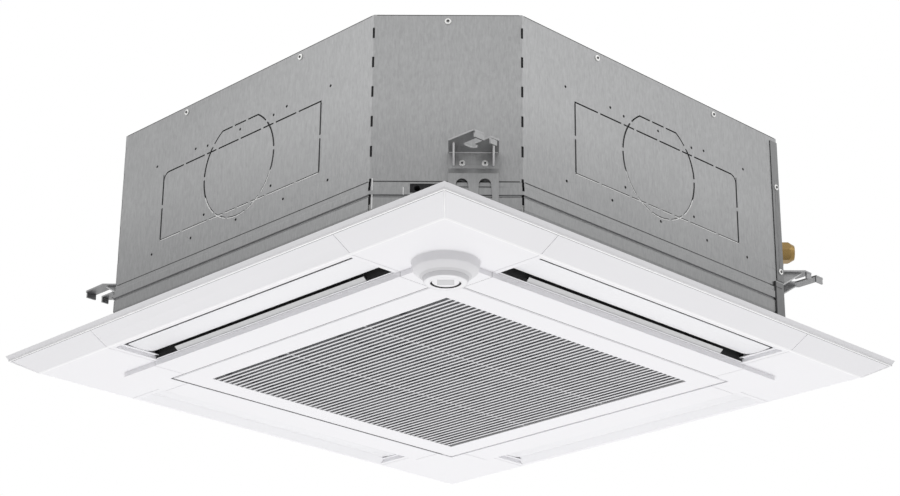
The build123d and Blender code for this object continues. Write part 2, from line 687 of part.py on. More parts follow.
def hanger_window(spread):
    """Oblong hole that widens downward."""
    r = HANGER_HOLE_RADIUS
    centre_z = HANGER_HOLE_TOP - r
    wide = r + HANGER_HOLE_FLARE
    outline = make_face(Polyline((-r, centre_z), (r, centre_z), (wide, HANGER_HOLE_BOTTOM),
                                 (-wide, HANGER_HOLE_BOTTOM), close=True))
    outline += Pos(0, centre_z) * Circle(r)
    return Pos(spread, 0, 0) * extrude(Plane.XZ * outline, 20, both=True)


def gusset(spread):
    t = HANGER_SHEET
    points = [(t / 2, HANGER_Z + t / 2), (t / 2, HANGER_Z - GUSSET_DROP), (t, HANGER_Z - GUSSET_DROP),
              (GUSSET_REACH, HANGER_Z), (GUSSET_REACH, HANGER_Z + t / 2)]
    profile = Plane.YZ * make_face(Polyline(*[(-y, z) for y, z in points], close=True))
    return Pos(spread, 0, 0) * extrude(profile, t / 2, both=True)


def hanger():
    """Bracket of the front right corner."""
    bracket = hanger_plate() + hanger_apron()
    for side in (-1, 1):
        bracket += gusset(side * GUSSET_SPREAD)
        bracket -= hanger_window(side * HANGER_HOLE_SPREAD)
        bracket -= Pos(side * HANGER_HOLE_SPREAD, 0, HANGER_SCREW_Z) * Rot(90, 0, 0) * Cylinder(
            SCREW_SHANK_DIAMETER / 2, 20)
    bracket = corner_seat() * bracket
    edge = (CORNER_OUT + HANGER_APEX) / math.sqrt(2) + (ROD_PITCH_X - ROD_PITCH_Y) / 4
    apex_y = -(edge - (ROD_PITCH_X - ROD_PITCH_Y) / 2)
    lip = block(edge - HANGER_SHEET, edge, apex_y + HANGER_SHEET, apex_y + HANGER_APEX * 0.6,
                HANGER_Z - HANGER_LIP, HANGER_Z + HANGER_SHEET / 2)
    return bracket + lip - rod_slot(HANGER_Z - 2 * HANGER_LIP, HANGER_Z + 2 * HANGER_SHEET)


def hanger_screw_places():
    """Seats of the bracket screws on all four corners."""
    front_right = [corner_seat() * Pos(side * HANGER_HOLE_SPREAD, -HANGER_SHEET, HANGER_SCREW_Z)
                   * Rot(90, 0, 0) for side in (-1, 1)]
    places = []
    for place in front_right:
        p = place.position
        for sx, sy, turn in ((1, -1, 45), (1, 1, 135), (-1, 1, 225), (-1, -1, 315)):
            places.append(Pos(sx * abs(p.X), sy * abs(p.Y), p.Z) * Rot(0, 0, turn) * Rot(90, 0, 0))
    return places


def hanger_screws():
    return group([place * screw(SCREW_LENGTH) for place in hanger_screw_places()])


# ---------------------------------------------------------------- decoration panel
def shell_levels(inset):
    """Levels of the panel's lower form, moved in by a wall thickness."""
    slope = math.hypot(BEVEL_WIDTH, BEVEL_HEIGHT)
    bevel_in = inset * (slope - BEVEL_WIDTH) / BEVEL_HEIGHT
    rim_in = inset * (slope - BEVEL_HEIGHT) / BEVEL_WIDTH
    return [(HALF - inset, 0), (RIM_FOOT - inset, -RIM_HEIGHT + rim_in),
            (FLAT_HALF - bevel_in, FLAT_Z + inset)]


def shell_form(inset):
    """The panel's lower form as a solid: rim, bevel, corner flats and intake surround."""
    form = tower(shell_levels(inset))
    size = 2 * (STEP_HALF - inset)
    surround = extrude(RectangleRounded(size, size, STEP_CORNER - inset), STEP_HEIGHT + 1)
    return form + Pos(0, 0, FACE_Z + inset) * surround


def corner_boxes(edge, z0, z1):
    """Square columns over the four corners, from edge outward."""
    far = HALF + 10
    boxes = []
    for sx in (-1, 1):
        for sy in (-1, 1):
            xs = sorted((sx * edge, sx * far))
            ys = sorted((sy * edge, sy * far))
            boxes.append(block(*xs, *ys, z0, z1))
    return boxes


def outlet_duct(grow, z_low, z_high):
    """Space of the front outlet: straight inner wall, outer wall leaning outward."""
    inner = OUTLET_INNER - grow
    slope = (OUTLET_OUTER - OUTLET_THROAT) / -FLAT_Z
    low_outer = OUTLET_THROAT + grow - slope * z_low
    high_outer = OUTLET_THROAT + grow - slope * z_high
    points = [(-inner, z_low), (-low_outer, z_low), (-high_outer, z_high), (-inner, z_high)]
    profile = Plane.YZ * make_face(Polyline(*points, close=True))
    return extrude(profile, OUTLET_HALF_LENGTH + grow, both=True)


def panel_bolt_places():
    return [(sx * PANEL_BOLT_X, sy * PANEL_BOLT_Y) for sx in (-1, 1) for sy in (-1, 1)]


def panel_bolt_hole(x, y):
    return Pos(x, y, 0) * rod(PANEL_BOLT_DIAMETER / 2 + BOLT_CLEARANCE, -60, PAN_BOTTOM + 2 * SHEET)


def pivot_rod(side, radius, x0, x1):
    """Cylinder on the front vane's pivot axis, between two distances from the middle."""
    x = side * (x0 + x1) / 2
    return Pos(x, -VANE_PIVOT_IN, VANE_PIVOT_Z) * Rot(0, 90, 0) * Cylinder(radius, x1 - x0)


def panel_core():
    """Everything of the panel frame before its holes: skin, rim, duct walls and intake wall."""
    skin = shell_form(0) - shell_form(SKIN)
    rim = tower([(HALF, 0), (RIM_FOOT, -RIM_HEIGHT)]) - tower(
        [(HALF - SEAT_WIDTH, 1), (HALF - SEAT_WIDTH, -RIM_HEIGHT - 1)])
    corners = corner_boxes(COVER_EDGE - SEAM, FACE_Z - 1, 0)
    decks = corner_boxes(COVER_EDGE - SEAM - SKIN, FACE_Z - 1, 0)
    drop = COVER_SKIN + SEAM
    deck = shell_form(drop) - shell_form(drop + SKIN)
    deck = deck & tower([(HALF, -RIM_HEIGHT * 0.9), (HALF, FACE_Z - 1)])
    skin = (skin - corners) + group([deck & box for box in decks]) + rim
    wall = tower([(GRILLE_OPENING_HALF + SKIN, FACE_Z + SKIN / 2), (GRILLE_OPENING_HALF + SKIN, WALL_TOP)])
    skin += (wall & shell_form(SKIN / 2)) - corner_boxes(COVER_EDGE - SEAM, FACE_Z - 1, FACE_Z + drop)
    for name in SIDES:
        skin += on_side(name, outlet_duct(END_WALL, FLAT_Z + SKIN / 2, WALL_TOP))
        step = tower([(STEP_HALF, FACE_Z + SKIN / 2), (STEP_HALF, WALL_TOP)])
        strip = on_side(name, block(-OUTLET_HALF_LENGTH, OUTLET_HALF_LENGTH, -OUTLET_INNER,
                                    -OUTLET_INNER + SKIN, FACE_Z + SKIN / 2, WALL_TOP))
        skin += strip & step
    return skin


def catch_places():
    return [(side * CATCH_SPACING / 2, -GRILLE_HALF + 9) for side in (-1, 1)]


def hinge_arms():
    """Two hooks on the intake wall that hold the grille's hinge pins."""
    arms = []
    top = GRILLE_BACK + 5
    for side in (-1, 1):
        x = side * HINGE_SPACING / 2
        half = HINGE_ARM_WIDTH / 2
        eye = Pos(x, HINGE_Y, HINGE_Z) * Rot(0, 90, 0) * Cylinder(HINGE_EYE_RADIUS, HINGE_ARM_WIDTH)
        leg = block(x - half, x + half, HINGE_Y - HINGE_EYE_RADIUS, HINGE_Y + HINGE_EYE_RADIUS, HINGE_Z, top)
        foot = block(x - half, x + half, HINGE_Y - HINGE_EYE_RADIUS, GRILLE_OPENING_HALF + 1,
                     GRILLE_BACK + 0.5, top)
        bore = Pos(x, HINGE_Y, HINGE_Z) * Rot(0, 90, 0) * Cylinder(
            HINGE_PIN_DIAMETER / 2 + BEARING_CLEARANCE, HINGE_ARM_WIDTH + 2)
        arms.append(eye + leg + foot - bore)
    return arms


def panel_frame():
    frame = panel_core()
    room = corner_boxes(COVER_EDGE - SEAM, FACE_Z - 1, FLAT_Z + COVER_SKIN + SEAM + SKIN / 2)
    for x, y in panel_bolt_places():
        frame += (Pos(x, y, 0) * rod(PANEL_BOSS_DIAMETER / 2, FLAT_Z + SKIN / 2, WALL_TOP)) - room
    opening = 2 * GRILLE_OPENING_HALF
    frame -= Pos(0, 0, FACE_Z / 2) * Box(opening, opening, -FACE_Z * 2)
    for name in SIDES:
        frame -= on_side(name, outlet_duct(0, FLAT_Z - 1, 1))
        for side in (-1, 1):
            bore = VANE_PIN_DIAMETER / 2 + BEARING_CLEARANCE
            end = OUTLET_HALF_LENGTH
            frame -= on_side(name, pivot_rod(side, bore, end - 1, end + 2 * END_WALL))
    for x, y in panel_bolt_places():
        frame -= panel_bolt_hole(x, y)
        seat = FLAT_Z + COVER_SKIN + SEAM + SKIN + 2
        frame -= Pos(x, y, 0) * rod(PANEL_BOLT_HEAD / 2 + BOLT_CLEARANCE, -60, seat)
    frame -= dome_place() * rod(DOME_RADIUS - 2 * COVER_SKIN, -60, 1)
    frame -= dome_place() * rod(DOME_RADIUS + DOME_FILLET + SEAM, -60, FLAT_Z + COVER_SKIN + SEAM)
    return frame + hinge_arms()


def outlet_liner():
    """Foam lining of the front outlet, open below."""
    low = FLAT_Z + LINER_RISE
    outer = outlet_duct(0, low, WALL_TOP)
    inner = outlet_duct(-LINER, low - 1, 1)
    liner = outer - inner
    reach = OUTLET_HALF_LENGTH + 1
    outer_low = FLAT_Z + LINER_OUTER_RISE
    liner -= block(-reach, reach, -OUTLET_OUTER - 1, -OUTLET_INNER - 2 * LINER, low - 1, outer_low)
    ear_low = low - LINER_EAR_DROP
    for side in (-1, 1):
        xs = sorted((side * OUTLET_HALF_LENGTH, side * (OUTLET_HALF_LENGTH - LINER_EAR_LENGTH)))
        liner += block(*xs, -OUTLET_INNER - LINER, -OUTLET_INNER, ear_low, low + 1)
        end = OUTLET_HALF_LENGTH
        liner -= pivot_rod(side, VANE_PIN_DIAMETER, end - 2 * LINER, end + 1)
    return liner


def outlet_liners():
    return group([on_side(name, outlet_liner()) for name in SIDES])


def panel_gasket():
    outer = OUTLET_THROAT + GASKET_BORDER
    low, high = WALL_TOP, BODY_BOTTOM
    sheet = block(-outer, outer, -outer, outer, low, high)
    sheet -= Pos(0, 0, low) * Box(2 * GRILLE_OPENING_HALF, 2 * GRILLE_OPENING_HALF, 4 * (high - low))
    for name in SIDES:
        sheet -= on_side(name, block(-OUTLET_HALF_LENGTH, OUTLET_HALF_LENGTH, -OUTLET_THROAT, -OUTLET_INNER,
                                     low - 1, high + 1))
    for x, y in panel_bolt_places():
        sheet -= Pos(x, y, 0) * rod(PANEL_BOLT_DIAMETER / 2 + BOLT_CLEARANCE, low - 1, high + 1)
    reach = math.sqrt(2) * (CORNER_SUM - BOTTOM_FLANGE)
    return sheet & Rot(0, 0, 45) * Box(reach, reach, 8 * (high - low))


def panel_screws():
    seat = FLAT_Z + COVER_SKIN + SEAM + SKIN + 2
    screws = []
    for x, y in panel_bolt_places():
        head = rod(PANEL_BOLT_HEAD / 2, seat - 4, seat)
        shank = rod(PANEL_BOLT_DIAMETER / 2, seat, BODY_BOTTOM + SHEET + 6)
        slot = Pos(0, 0, seat - 4) * Box(PANEL_BOLT_HEAD * 0.7, 1.2, 2)
        screws.append(Pos(x, y, 0) * (head + shank - slot))
    return group(screws)


def dome_place():
    return Pos(SENSOR_IN, -SENSOR_IN, 0)


def corner_cover(sx, sy):
    """Snap-on cover of one corner, in one piece from the bevel to the grille."""
    shell = shell_form(0) - shell_form(COVER_SKIN)
    near = COVER_EDGE
    far = HALF + 10
    xs = sorted((sx * near, sx * far))
    ys = sorted((sy * near, sy * far))
    top = -RIM_HEIGHT - SEAM
    cover = shell & block(*xs, *ys, FACE_Z - 1, top)
    inner = 2 * GRILLE_OPENING_HALF
    cover -= Pos(0, 0, FACE_Z) * Box(inner, inner, 40)
    post_top = FLAT_Z + COVER_SKIN + SEAM - 0.2
    for x, y in ((near + 20, FLAT_HALF - 25), (FLAT_HALF - 25, near + 20), (FLAT_HALF - 25, FLAT_HALF - 25)):
        post = rod(COVER_POST_DIAMETER / 2, FLAT_Z + 1, post_top)
        cover += Pos(sx * x, sy * y, 0) * post
    return cover


def sensor_cover():
    """Corner cover with the dome of the occupancy sensor."""
    cover = corner_cover(1, -1)
    z = FLAT_Z
    wall = COVER_SKIN
    outer = [(0, z + wall), (DOME_RADIUS + DOME_FILLET, z + wall), (DOME_RADIUS + DOME_FILLET, z),
             (DOME_RADIUS, z - DOME_FILLET), (DOME_SHOULDER_RADIUS, z - DOME_SHOULDER_DROP),
             (DOME_NECK_RADIUS, z - DOME_NECK_DROP), (0, z - DOME_NECK_DROP)]
    inner = [(0, z + wall + 1), (DOME_RADIUS - wall, z + wall + 1), (DOME_RADIUS - wall, z - DOME_FILLET),
             (DOME_SHOULDER_RADIUS - wall, z - DOME_SHOULDER_DROP + wall / 2),
             (DOME_NECK_RADIUS - wall, z - DOME_NECK_DROP + wall), (0, z - DOME_NECK_DROP + wall)]
    dome = dome_place() * turned(outer)
    cover += dome
    cover -= dome_place() * turned(inner)
    return cover - dome_place() * rod(RING_OUTER_RADIUS - 2, z - 2 * DOME_NECK_DROP, z)


def sensor_ring():
    """White ring at the foot of the dome, with a spigot that fits inside it."""
    z = FLAT_Z - DOME_NECK_DROP
    foot = FLAT_Z - RING_DROP
    r = RING_OUTER_RADIUS
    points = [(RING_BORE_RADIUS, foot + 0.6), (RING_BORE_RADIUS + 0.6, foot), (r - 0.6, foot), (r, foot + 0.6),
              (DOME_NECK_RADIUS - 1, z - 0.1), (r - 2.1, z - 0.1), (r - 2.1, z + COVER_SKIN),
              (RING_BORE_RADIUS, z + COVER_SKIN)]
    return dome_place() * turned(points)


def sensor_turret():
    """Turning cup that carries the sensor window."""
    foot = FLAT_Z - RING_DROP + TURRET_RECESS
    top = FLAT_Z - DOME_NECK_DROP + COVER_SKIN + 6
    r = TURRET_RADIUS
    cup = turned([(0, foot), (r - 2, foot), (r, foot + 1.5), (r, top), (0, top)])
    window = Pos(0, 0, foot) * Box(LENS_LENGTH, LENS_WIDTH, 4)
    socket = rod(SENSOR_SHAFT_DIAMETER / 2 + BEARING_CLEARANCE, top - 5, top + 1)
    return dome_place() * (cup - window - socket)


def sensor_lens():
    foot = FLAT_Z - RING_DROP + TURRET_RECESS
    lens = Pos(0, 0, foot + 1) * Box(LENS_LENGTH - 0.4, LENS_WIDTH - 0.4, 2)
    return dome_place() * chamfer(lens.edges().group_by(Axis.Z)[0], 0.8)


def sensor_motor():
    """Small geared motor on a bridge across the dome, its shaft in the turret."""
    top = FLAT_Z - DOME_NECK_DROP + COVER_SKIN + 6
    z = top + 1
    body = rod(SENSOR_MOTOR_DIAMETER / 2, z, z + 12)
    shaft = rod(SENSOR_SHAFT_DIAMETER / 2, top - 4.5, z + 1)
    rest = FLAT_Z + COVER_SKIN + SEAM + SKIN
    half = SENSOR_MOTOR_DIAMETER / 2
    bridge = block(-DOME_RADIUS - 4, DOME_RADIUS + 4, -6, 6, rest, rest + 1)
    riser = block(-half, half, -6, 6, z + 11, rest + 1)
    return dome_place() * Rot(0, 0, 45) * (body + shaft + bridge + riser)


# ---------------------------------------------------------------- vanes
def vane():
    """Front vane: bowed blade with back ribs, end ears and pivot pins."""
    mid = (VANE_INNER + VANE_OUTER) / 2
    low = VANE_Z
    t = VANE_THICKNESS
    edge = low + VANE_CROWN
    lower = ThreePointArc((-VANE_INNER, edge), (-mid, low), (-VANE_OUTER, edge))
    upper = ThreePointArc((-VANE_OUTER, edge + t), (-mid, low + t), (-VANE_INNER, edge + t))
    ends = [Line(lower @ 1, upper @ 0), Line(upper @ 1, lower @ 0)]
    blade = extrude(Plane.YZ * make_face([lower, ends[0], upper, ends[1]]), VANE_HALF_LENGTH, both=True)
    inner_corners = blade.edges().filter_by(Axis.Z).group_by(Axis.Y)[-1]
    blade = fillet(inner_corners, min(VANE_CORNER, (VANE_OUTER - VANE_INNER) / 3))
    for side in (-1, 1):
        blade += vane_ear(side)
    count = int(VANE_HALF_LENGTH / VANE_RIB_SPACING)
    for i in range(-count + 1, count):
        x = i * VANE_RIB_SPACING
        blade += block(x - 1, x + 1, -VANE_OUTER + 8, -VANE_INNER - 3, low + t / 2, low + t + 4)
    return blade


def vane_ear(side):
    """Ear and pivot pin at one end of the front vane."""
    x_in = VANE_HALF_LENGTH - 4
    x = side * (x_in - VANE_EAR_THICKNESS / 2)
    y, z, r = -VANE_PIVOT_IN, VANE_PIVOT_Z, VANE_EAR_RADIUS
    eye = Pos(x, y, z) * Rot(0, 90, 0) * Cylinder(r, VANE_EAR_THICKNESS)
    low = VANE_Z + VANE_THICKNESS / 2
    foot = [(y + 3, low), (y - 26, low), (y - r * 0.6, z + r * 0.6), (y + r * 0.6, z)]
    web = extrude(Plane.YZ * make_face(Polyline(*foot, close=True)), VANE_EAR_THICKNESS / 2, both=True)
    pin = pivot_rod(side, VANE_PIN_DIAMETER / 2, x_in - 1, OUTLET_HALF_LENGTH + END_WALL + 2)
    return eye + Pos(x, 0, 0) * web + pin


def vane_motor():
    """Stepper motor behind one end wall of the front outlet; the pivot pin enters its bore."""
    x = OUTLET_HALF_LENGTH + END_WALL
    length = MOTOR_LENGTH
    at = Pos(x + length / 2, -VANE_PIVOT_IN, VANE_PIVOT_Z) * Rot(0, 90, 0)
    bore = Pos(0, 0, -length / 2) * Cylinder(VANE_PIN_DIAMETER / 2 + BEARING_CLEARANCE, 6)
    body = at * (Cylinder(MOTOR_DIAMETER / 2, length) - bore)
    half = MOTOR_DIAMETER / 2 + 5
    ear = block(x, x + 1, -VANE_PIVOT_IN - half, -VANE_PIVOT_IN + half, VANE_PIVOT_Z - 3, VANE_PIVOT_Z + 3)
    return body + (ear - at * Cylinder(MOTOR_DIAMETER / 4, 2 * length))


def vane_motors():
    return group([on_side(name, vane_motor()) for name in SIDES])


# ---------------------------------------------------------------- intake grille
def slat_lines():
    """Y places of the slats, evenly spaced over the slatted field."""
    pitch = 2 * SLAT_HALF / SLAT_GAP_COUNT
    return [-SLAT_HALF + pitch * i for i in range(1, SLAT_GAP_COUNT)]


def slat(y):
    low = FACE_Z + SLAT_RECESS
    high = low + SLAT_DEPTH
    a, b = SLAT_FACE / 2, SLAT_BACK / 2
    profile = Plane.YZ * make_face(Polyline((y - a, low), (y + a, low), (y + b, high), (y - b, high), close=True))
    return extrude(profile, SLAT_HALF + 1, both=True)


def grille_frame():
    outer = tower([(GRILLE_HALF - HINGE_EDGE_CHAMFER, FACE_Z), (GRILLE_HALF, FACE_Z + HINGE_EDGE_CHAMFER),
                   (GRILLE_HALF, GRILLE_BACK)])
    tray = tower([(GRILLE_HALF - GRILLE_SKIN, FACE_Z + GRILLE_SKIN), (GRILLE_HALF - GRILLE_SKIN, GRILLE_BACK + 1)])
    inner_wall = tower([(SLAT_HALF + GRILLE_SKIN, FACE_Z + 1), (SLAT_HALF + GRILLE_SKIN, GRILLE_BACK)])
    frame = (outer - tray) + inner_wall
    field = 2 * SLAT_HALF
    return frame - Pos(0, 0, FACE_Z) * Box(field, field, 4 * GRILLE_DEPTH)


def hinge_notch(side):
    """Room in the grille's back edge for one hinge hook."""
    x = side * HINGE_SPACING / 2
    half = HINGE_NOTCH / 2
    return block(x - half, x + half, HINGE_Y - 8, GRILLE_HALF + 1, FACE_Z + GRILLE_SKIN, GRILLE_BACK + 1)


def hinge_cheeks(side):
    cheeks = []
    for way in (-1, 1):
        x = side * HINGE_SPACING / 2 + way * (HINGE_NOTCH / 2 + GRILLE_SKIN / 2)
        cheeks.append(block(x - GRILLE_SKIN / 2, x + GRILLE_SKIN / 2, HINGE_Y - 7, GRILLE_HALF - 1,
                            FACE_Z + GRILLE_SKIN / 2, GRILLE_BACK - 1))
    return cheeks


def hinge_pin(side, radius):
    place = Pos(side * HINGE_SPACING / 2, HINGE_Y, HINGE_Z) * Rot(0, 90, 0)
    return place * Cylinder(radius, HINGE_PIN_LENGTH)


def intake_grille():
    grille = grille_frame()
    slats = [slat(y) for y in slat_lines()]
    rib_pitch = 2 * SLAT_HALF / (CROSS_RIB_COUNT + 1)
    for i in range(CROSS_RIB_COUNT):
        x = -SLAT_HALF + rib_pitch * (i + 1)
        slats.append(block(x - CROSS_RIB_WIDTH / 2, x + CROSS_RIB_WIDTH / 2, -SLAT_HALF - 1, SLAT_HALF + 1,
                           FACE_Z + CROSS_RIB_RECESS, GRILLE_BACK))
    grille = grille + slats
    for side in (-1, 1):
        grille -= hinge_notch(side)
        grille += hinge_cheeks(side)
        grille -= hinge_pin(side, HINGE_PIN_DIAMETER / 2)
    for x, y in catch_places():
        post = rod(CATCH_POST_DIAMETER / 2, FACE_Z + 1, GRILLE_BACK + 8)
        grille += Pos(x, y, 0) * chamfer(post.edges().group_by(Axis.Z)[-1], 1)
    return grille


def grille_hinge_pins():
    return group([hinge_pin(side, HINGE_PIN_DIAMETER / 2) for side in (-1, 1)])


def grille_catch_sockets():
    """Snap sockets on the intake wall that hold the grille's two posts."""
    sockets = []
    for x, y in catch_places():
        low = GRILLE_BACK + 1
        size = CATCH_POST_DIAMETER + 2 * CATCH_CLEARANCE + 4
        body = block(x - size / 2, x + size / 2, -GRILLE_OPENING_HALF, y + size / 2, low, low + 11)
        body -= Pos(x, y, 0) * rod(CATCH_POST_DIAMETER / 2 + CATCH_CLEARANCE, low - 1, low + 8)
        sockets.append(body)
    return group(sockets)


def air_filter_frame():
    low = GRILLE_BACK + 0.2
    high = low + FILTER_DEPTH
    half = FILTER_HALF
    hole = half - FILTER_BAR
    frame = tower([(half, low), (half, high)]) - tower([(hole, low - 1), (hole, high + 1)])
    pitch = 2 * half / FILTER_CELLS
    bars = []
    for i in range(1, FILTER_CELLS):
        at = -half + pitch * i
        bars.append(block(at - 1.5, at + 1.5, -hole - 1, hole + 1, low, high - 2))
        bars.append(block(-hole - 1, hole + 1, at - 1.5, at + 1.5, low, high - 2))
    groove = tower([(hole + 3, high - 2), (hole + 3, high - 2 + FILTER_NET_THICKNESS)])
    return frame + bars - groove


def air_filter_net():
    low = GRILLE_BACK + 0.2 + FILTER_DEPTH - 2
    half = FILTER_HALF - FILTER_BAR + 3
    return tower([(half, low), (half, low + FILTER_NET_THICKNESS)])


# ---------------------------------------------------------------- fan and motor
def arc_points(centre_r, start_angle, sweep, r0, r1, steps):
    points = []
    for i in range(steps + 1):
        t = i / steps
        r = r0 + (r1 - r0) * t
        a = math.radians(start_angle - sweep * t)
        points.append((centre_r + r * math.cos(a), r * math.sin(a)))
    return points


def fan_blade():
    """One backward-leaning blade, from the hub plate down to the shroud."""
    line = Spline(*arc_points(0, 0, BLADE_SWEEP, BLADE_INNER_RADIUS, FAN_RADIUS - 1, 4))
    blade = extrude(trace(line, BLADE_THICKNESS), FAN_TOP - FAN_BOTTOM)
    return Pos(0, 0, FAN_BOTTOM) * blade


def shroud_height(radius):
    """Underside of the shroud: flat at the rim, falling to the inlet."""
    t = (FAN_RADIUS - radius) / (FAN_RADIUS - FAN_INLET_RADIUS)
    return FAN_BOTTOM + FAN_SHROUD_DROP * (1 - t * t)


def fan_shroud():
    radii = [FAN_INLET_RADIUS + (FAN_RADIUS - FAN_INLET_RADIUS) * i / 5 for i in range(6)]
    under = [(r, shroud_height(r)) for r in radii]
    over = [(r, z + FAN_PLATE) for r, z in reversed(under)]
    return turned(under + over)


def blade_limit():
    """Space between the shroud and the hub plate."""
    radii = [FAN_INLET_RADIUS + (FAN_RADIUS - FAN_INLET_RADIUS) * i / 5 for i in range(6)]
    under = [(r, shroud_height(r) + FAN_PLATE / 2) for r in radii]
    inlet = [(0, FAN_BOTTOM + FAN_PLATE / 2)]
    return turned(inlet + under + [(FAN_RADIUS, FAN_TOP), (0, FAN_TOP)])


def fan_hub():
    t = FAN_PLATE
    outer = [(SHAFT_DIAMETER / 2, FAN_DOME_Z), (DOME_BOTTOM_RADIUS, FAN_DOME_Z), (DOME_TOP_RADIUS, FAN_TOP - t),
             (FAN_RADIUS, FAN_TOP - t), (FAN_RADIUS, FAN_TOP), (DOME_TOP_RADIUS - t, FAN_TOP),
             (DOME_BOTTOM_RADIUS - t, FAN_DOME_Z + t), (SHAFT_DIAMETER / 2, FAN_DOME_Z + t)]
    boss = ring(20, SHAFT_DIAMETER / 2, FAN_DOME_Z - 4, FAN_DOME_Z + 10)
    return turned(outer) + boss


def turbo_fan():
    blades = group([Rot(0, 0, 360 / FAN_BLADES * i) * fan_blade() for i in range(FAN_BLADES)])
    return fan_hub() + fan_shroud() + (blades & blade_limit())


def fan_shaft():
    return rod(SHAFT_DIAMETER / 2, FAN_DOME_Z - 4 - FAN_NUT_HEIGHT - 3, FAN_MOTOR_BOTTOM + 10)


def fan_nut():
    z = FAN_DOME_Z - 4
    nut = hex_prism(FAN_NUT_ACROSS_FLATS, z - FAN_NUT_HEIGHT, z)
    return nut - rod(SHAFT_DIAMETER / 2, z - FAN_NUT_HEIGHT - 1, z + 1)


def motor_lug_place(i):
    return Rot(0, 0, 360 / MOTOR_LUGS * i + 30) * Pos(MOTOR_LUG_RADIUS, 0, 0)


def fan_motor():
    top = BODY_TOP - 26
    r = FAN_MOTOR_RADIUS
    low = FAN_MOTOR_BOTTOM
    body = turned([(0, low), (r - 14, low), (r, low + 14), (r, top), (0, top)])
    flange = rod(r + 1, top - 4, top)
    for i in range(MOTOR_LUGS):
        flange += Rot(0, 0, 360 / MOTOR_LUGS * i + 30) * block(r - 12, MOTOR_LUG_RADIUS, -11, 11, top - 4, top)
        flange += motor_lug_place(i) * rod(11, top - 4, top)
    motor = body + flange
    motor -= rod(SHAFT_DIAMETER / 2 + BEARING_CLEARANCE, low - 1, low + 11)
    for i in range(MOTOR_LUGS):
        motor -= motor_lug_place(i) * rod(STUD_DIAMETER / 2 + BOLT_CLEARANCE, top - 5, top + 1)
    return motor


def motor_mounts():
    """Rubber buffers under the top plate."""
    low = BODY_TOP - 26
    buffers = []
    for i in range(MOTOR_LUGS):
        buffers.append(motor_lug_place(i) * ring(RUBBER_RADIUS, STUD_DIAMETER / 2, low, BODY_TOP - SHEET))
    return group(buffers)


def motor_bolts():
    low = BODY_TOP - 30
    bolts = []
    for i in range(MOTOR_LUGS):
        shank = rod(STUD_DIAMETER / 2, low - 6, BODY_TOP)
        bolt = shank + hex_prism(10, BODY_TOP, BODY_TOP + 4) + hex_prism(10, low - 5, low)
        bolts.append(motor_lug_place(i) * bolt)
    return group(bolts)


def bell_mouth():
    z = BELL_PLATE_Z
    t = BELL_WALL
    steps = 6
    radial = BELL_FLARE_RADIUS - BELL_THROAT_RADIUS
    rise = BELL_TOP - z - 12
    curve = []
    for i in range(steps + 1):
        a = math.radians(90 * i / steps)
        curve.append((BELL_FLARE_RADIUS - radial * math.sin(a), z + rise * (1 - math.cos(a))))
    lower = curve + [(BELL_THROAT_RADIUS, BELL_TOP)]
    upper = [(BELL_THROAT_RADIUS + t, BELL_TOP)]
    upper += [(r + t, h + t * 0.6) for r, h in reversed(curve)]
    horn = turned(lower + upper)
    plate = Pos(0, 0, z) * extrude(RectangleRounded(2 * BELL_HALF, 2 * BELL_HALF, BELL_CORNER), t)
    return (plate - rod(BELL_FLARE_RADIUS + t / 2, z - 1, z + t + 1)) + horn


# ---------------------------------------------------------------- heat exchanger
def coil_outline(half, corner):
    return RectangleRounded(2 * half, 2 * half, corner)


def coil_band(grow, end, z0, z1):
    """Square ring of the coil between two heights, open at the back right corner beyond end."""
    outer = coil_outline(COIL_HALF + grow, COIL_CORNER + grow)
    inner = coil_outline(COIL_HALF - COIL_DEPTH - grow, COIL_CORNER - COIL_DEPTH - grow)
    band = Pos(0, 0, z0) * extrude(outer - inner, z1 - z0)
    far = 2 * COIL_HALF
    return band - block(end, far, end, far, z0 - 1, z1 + 1)


def coil_top():
    return BODY_TOP - SHEET - LINER_GAP - INSULATION_TOP - LINER_GAP


def coil_fins():
    low = TROUGH_FLOOR + LINER_GAP
    fins = coil_band(0, COIL_END - COIL_PLATE, low, coil_top())
    core_end = COIL_END - COIL_PLATE - COIL_SKIN
    return fins - coil_band(-COIL_SKIN, core_end, low + COIL_SKIN, coil_top() - COIL_SKIN)


def coil_end_plates():
    low = TROUGH_FLOOR + LINER_GAP
    plates = []
    mid = COIL_HALF - COIL_DEPTH / 2
    half = COIL_DEPTH / 2
    end = COIL_END
    plates.append(block(mid - half, mid + half, end - COIL_PLATE, end, low, coil_top()))
    plates.append(block(end - COIL_PLATE, end, mid - half, mid + half, low, coil_top()))
    return group(plates)


def coil_bends():
    """Return bends on both coil ends."""
    r = COIL_TUBE_DIAMETER / 2
    mid = COIL_HALF - COIL_DEPTH / 2
    bend_radius = COIL_BEND_PITCH / 4
    half_ring = Rot(90, 0, 0) * Torus(bend_radius, r) & block(-50, 50, -50, 50, 0, 50)
    bends = []
    for z in COIL_BEND_ZS:
        upright = Rot(0, 90, 0) * half_ring
        for place in (Pos(mid, COIL_END, z) * Rot(0, 0, 90), Pos(COIL_END, mid, z)):
            bends.append(place * upright)
    return group(bends)


# ---------------------------------------------------------------- refrigerant pipes
def pipe_route(spread):
    """Centre line of a pipe from the coil's end to the corner, for the coil end on the right."""
    diagonal = Vector(1, 1).normalized()
    side = Vector(1, -1).normalized()
    mid = COIL_HALF - COIL_DEPTH / 2
    outer = diagonal * (CORNER_OUT - 8) + side * abs(spread)
    turn_y = mid - (outer.X - outer.Y)
    return [(mid, COIL_END, PIPE_Z), (mid, turn_y, PIPE_Z), (outer.X, outer.Y, PIPE_Z)]


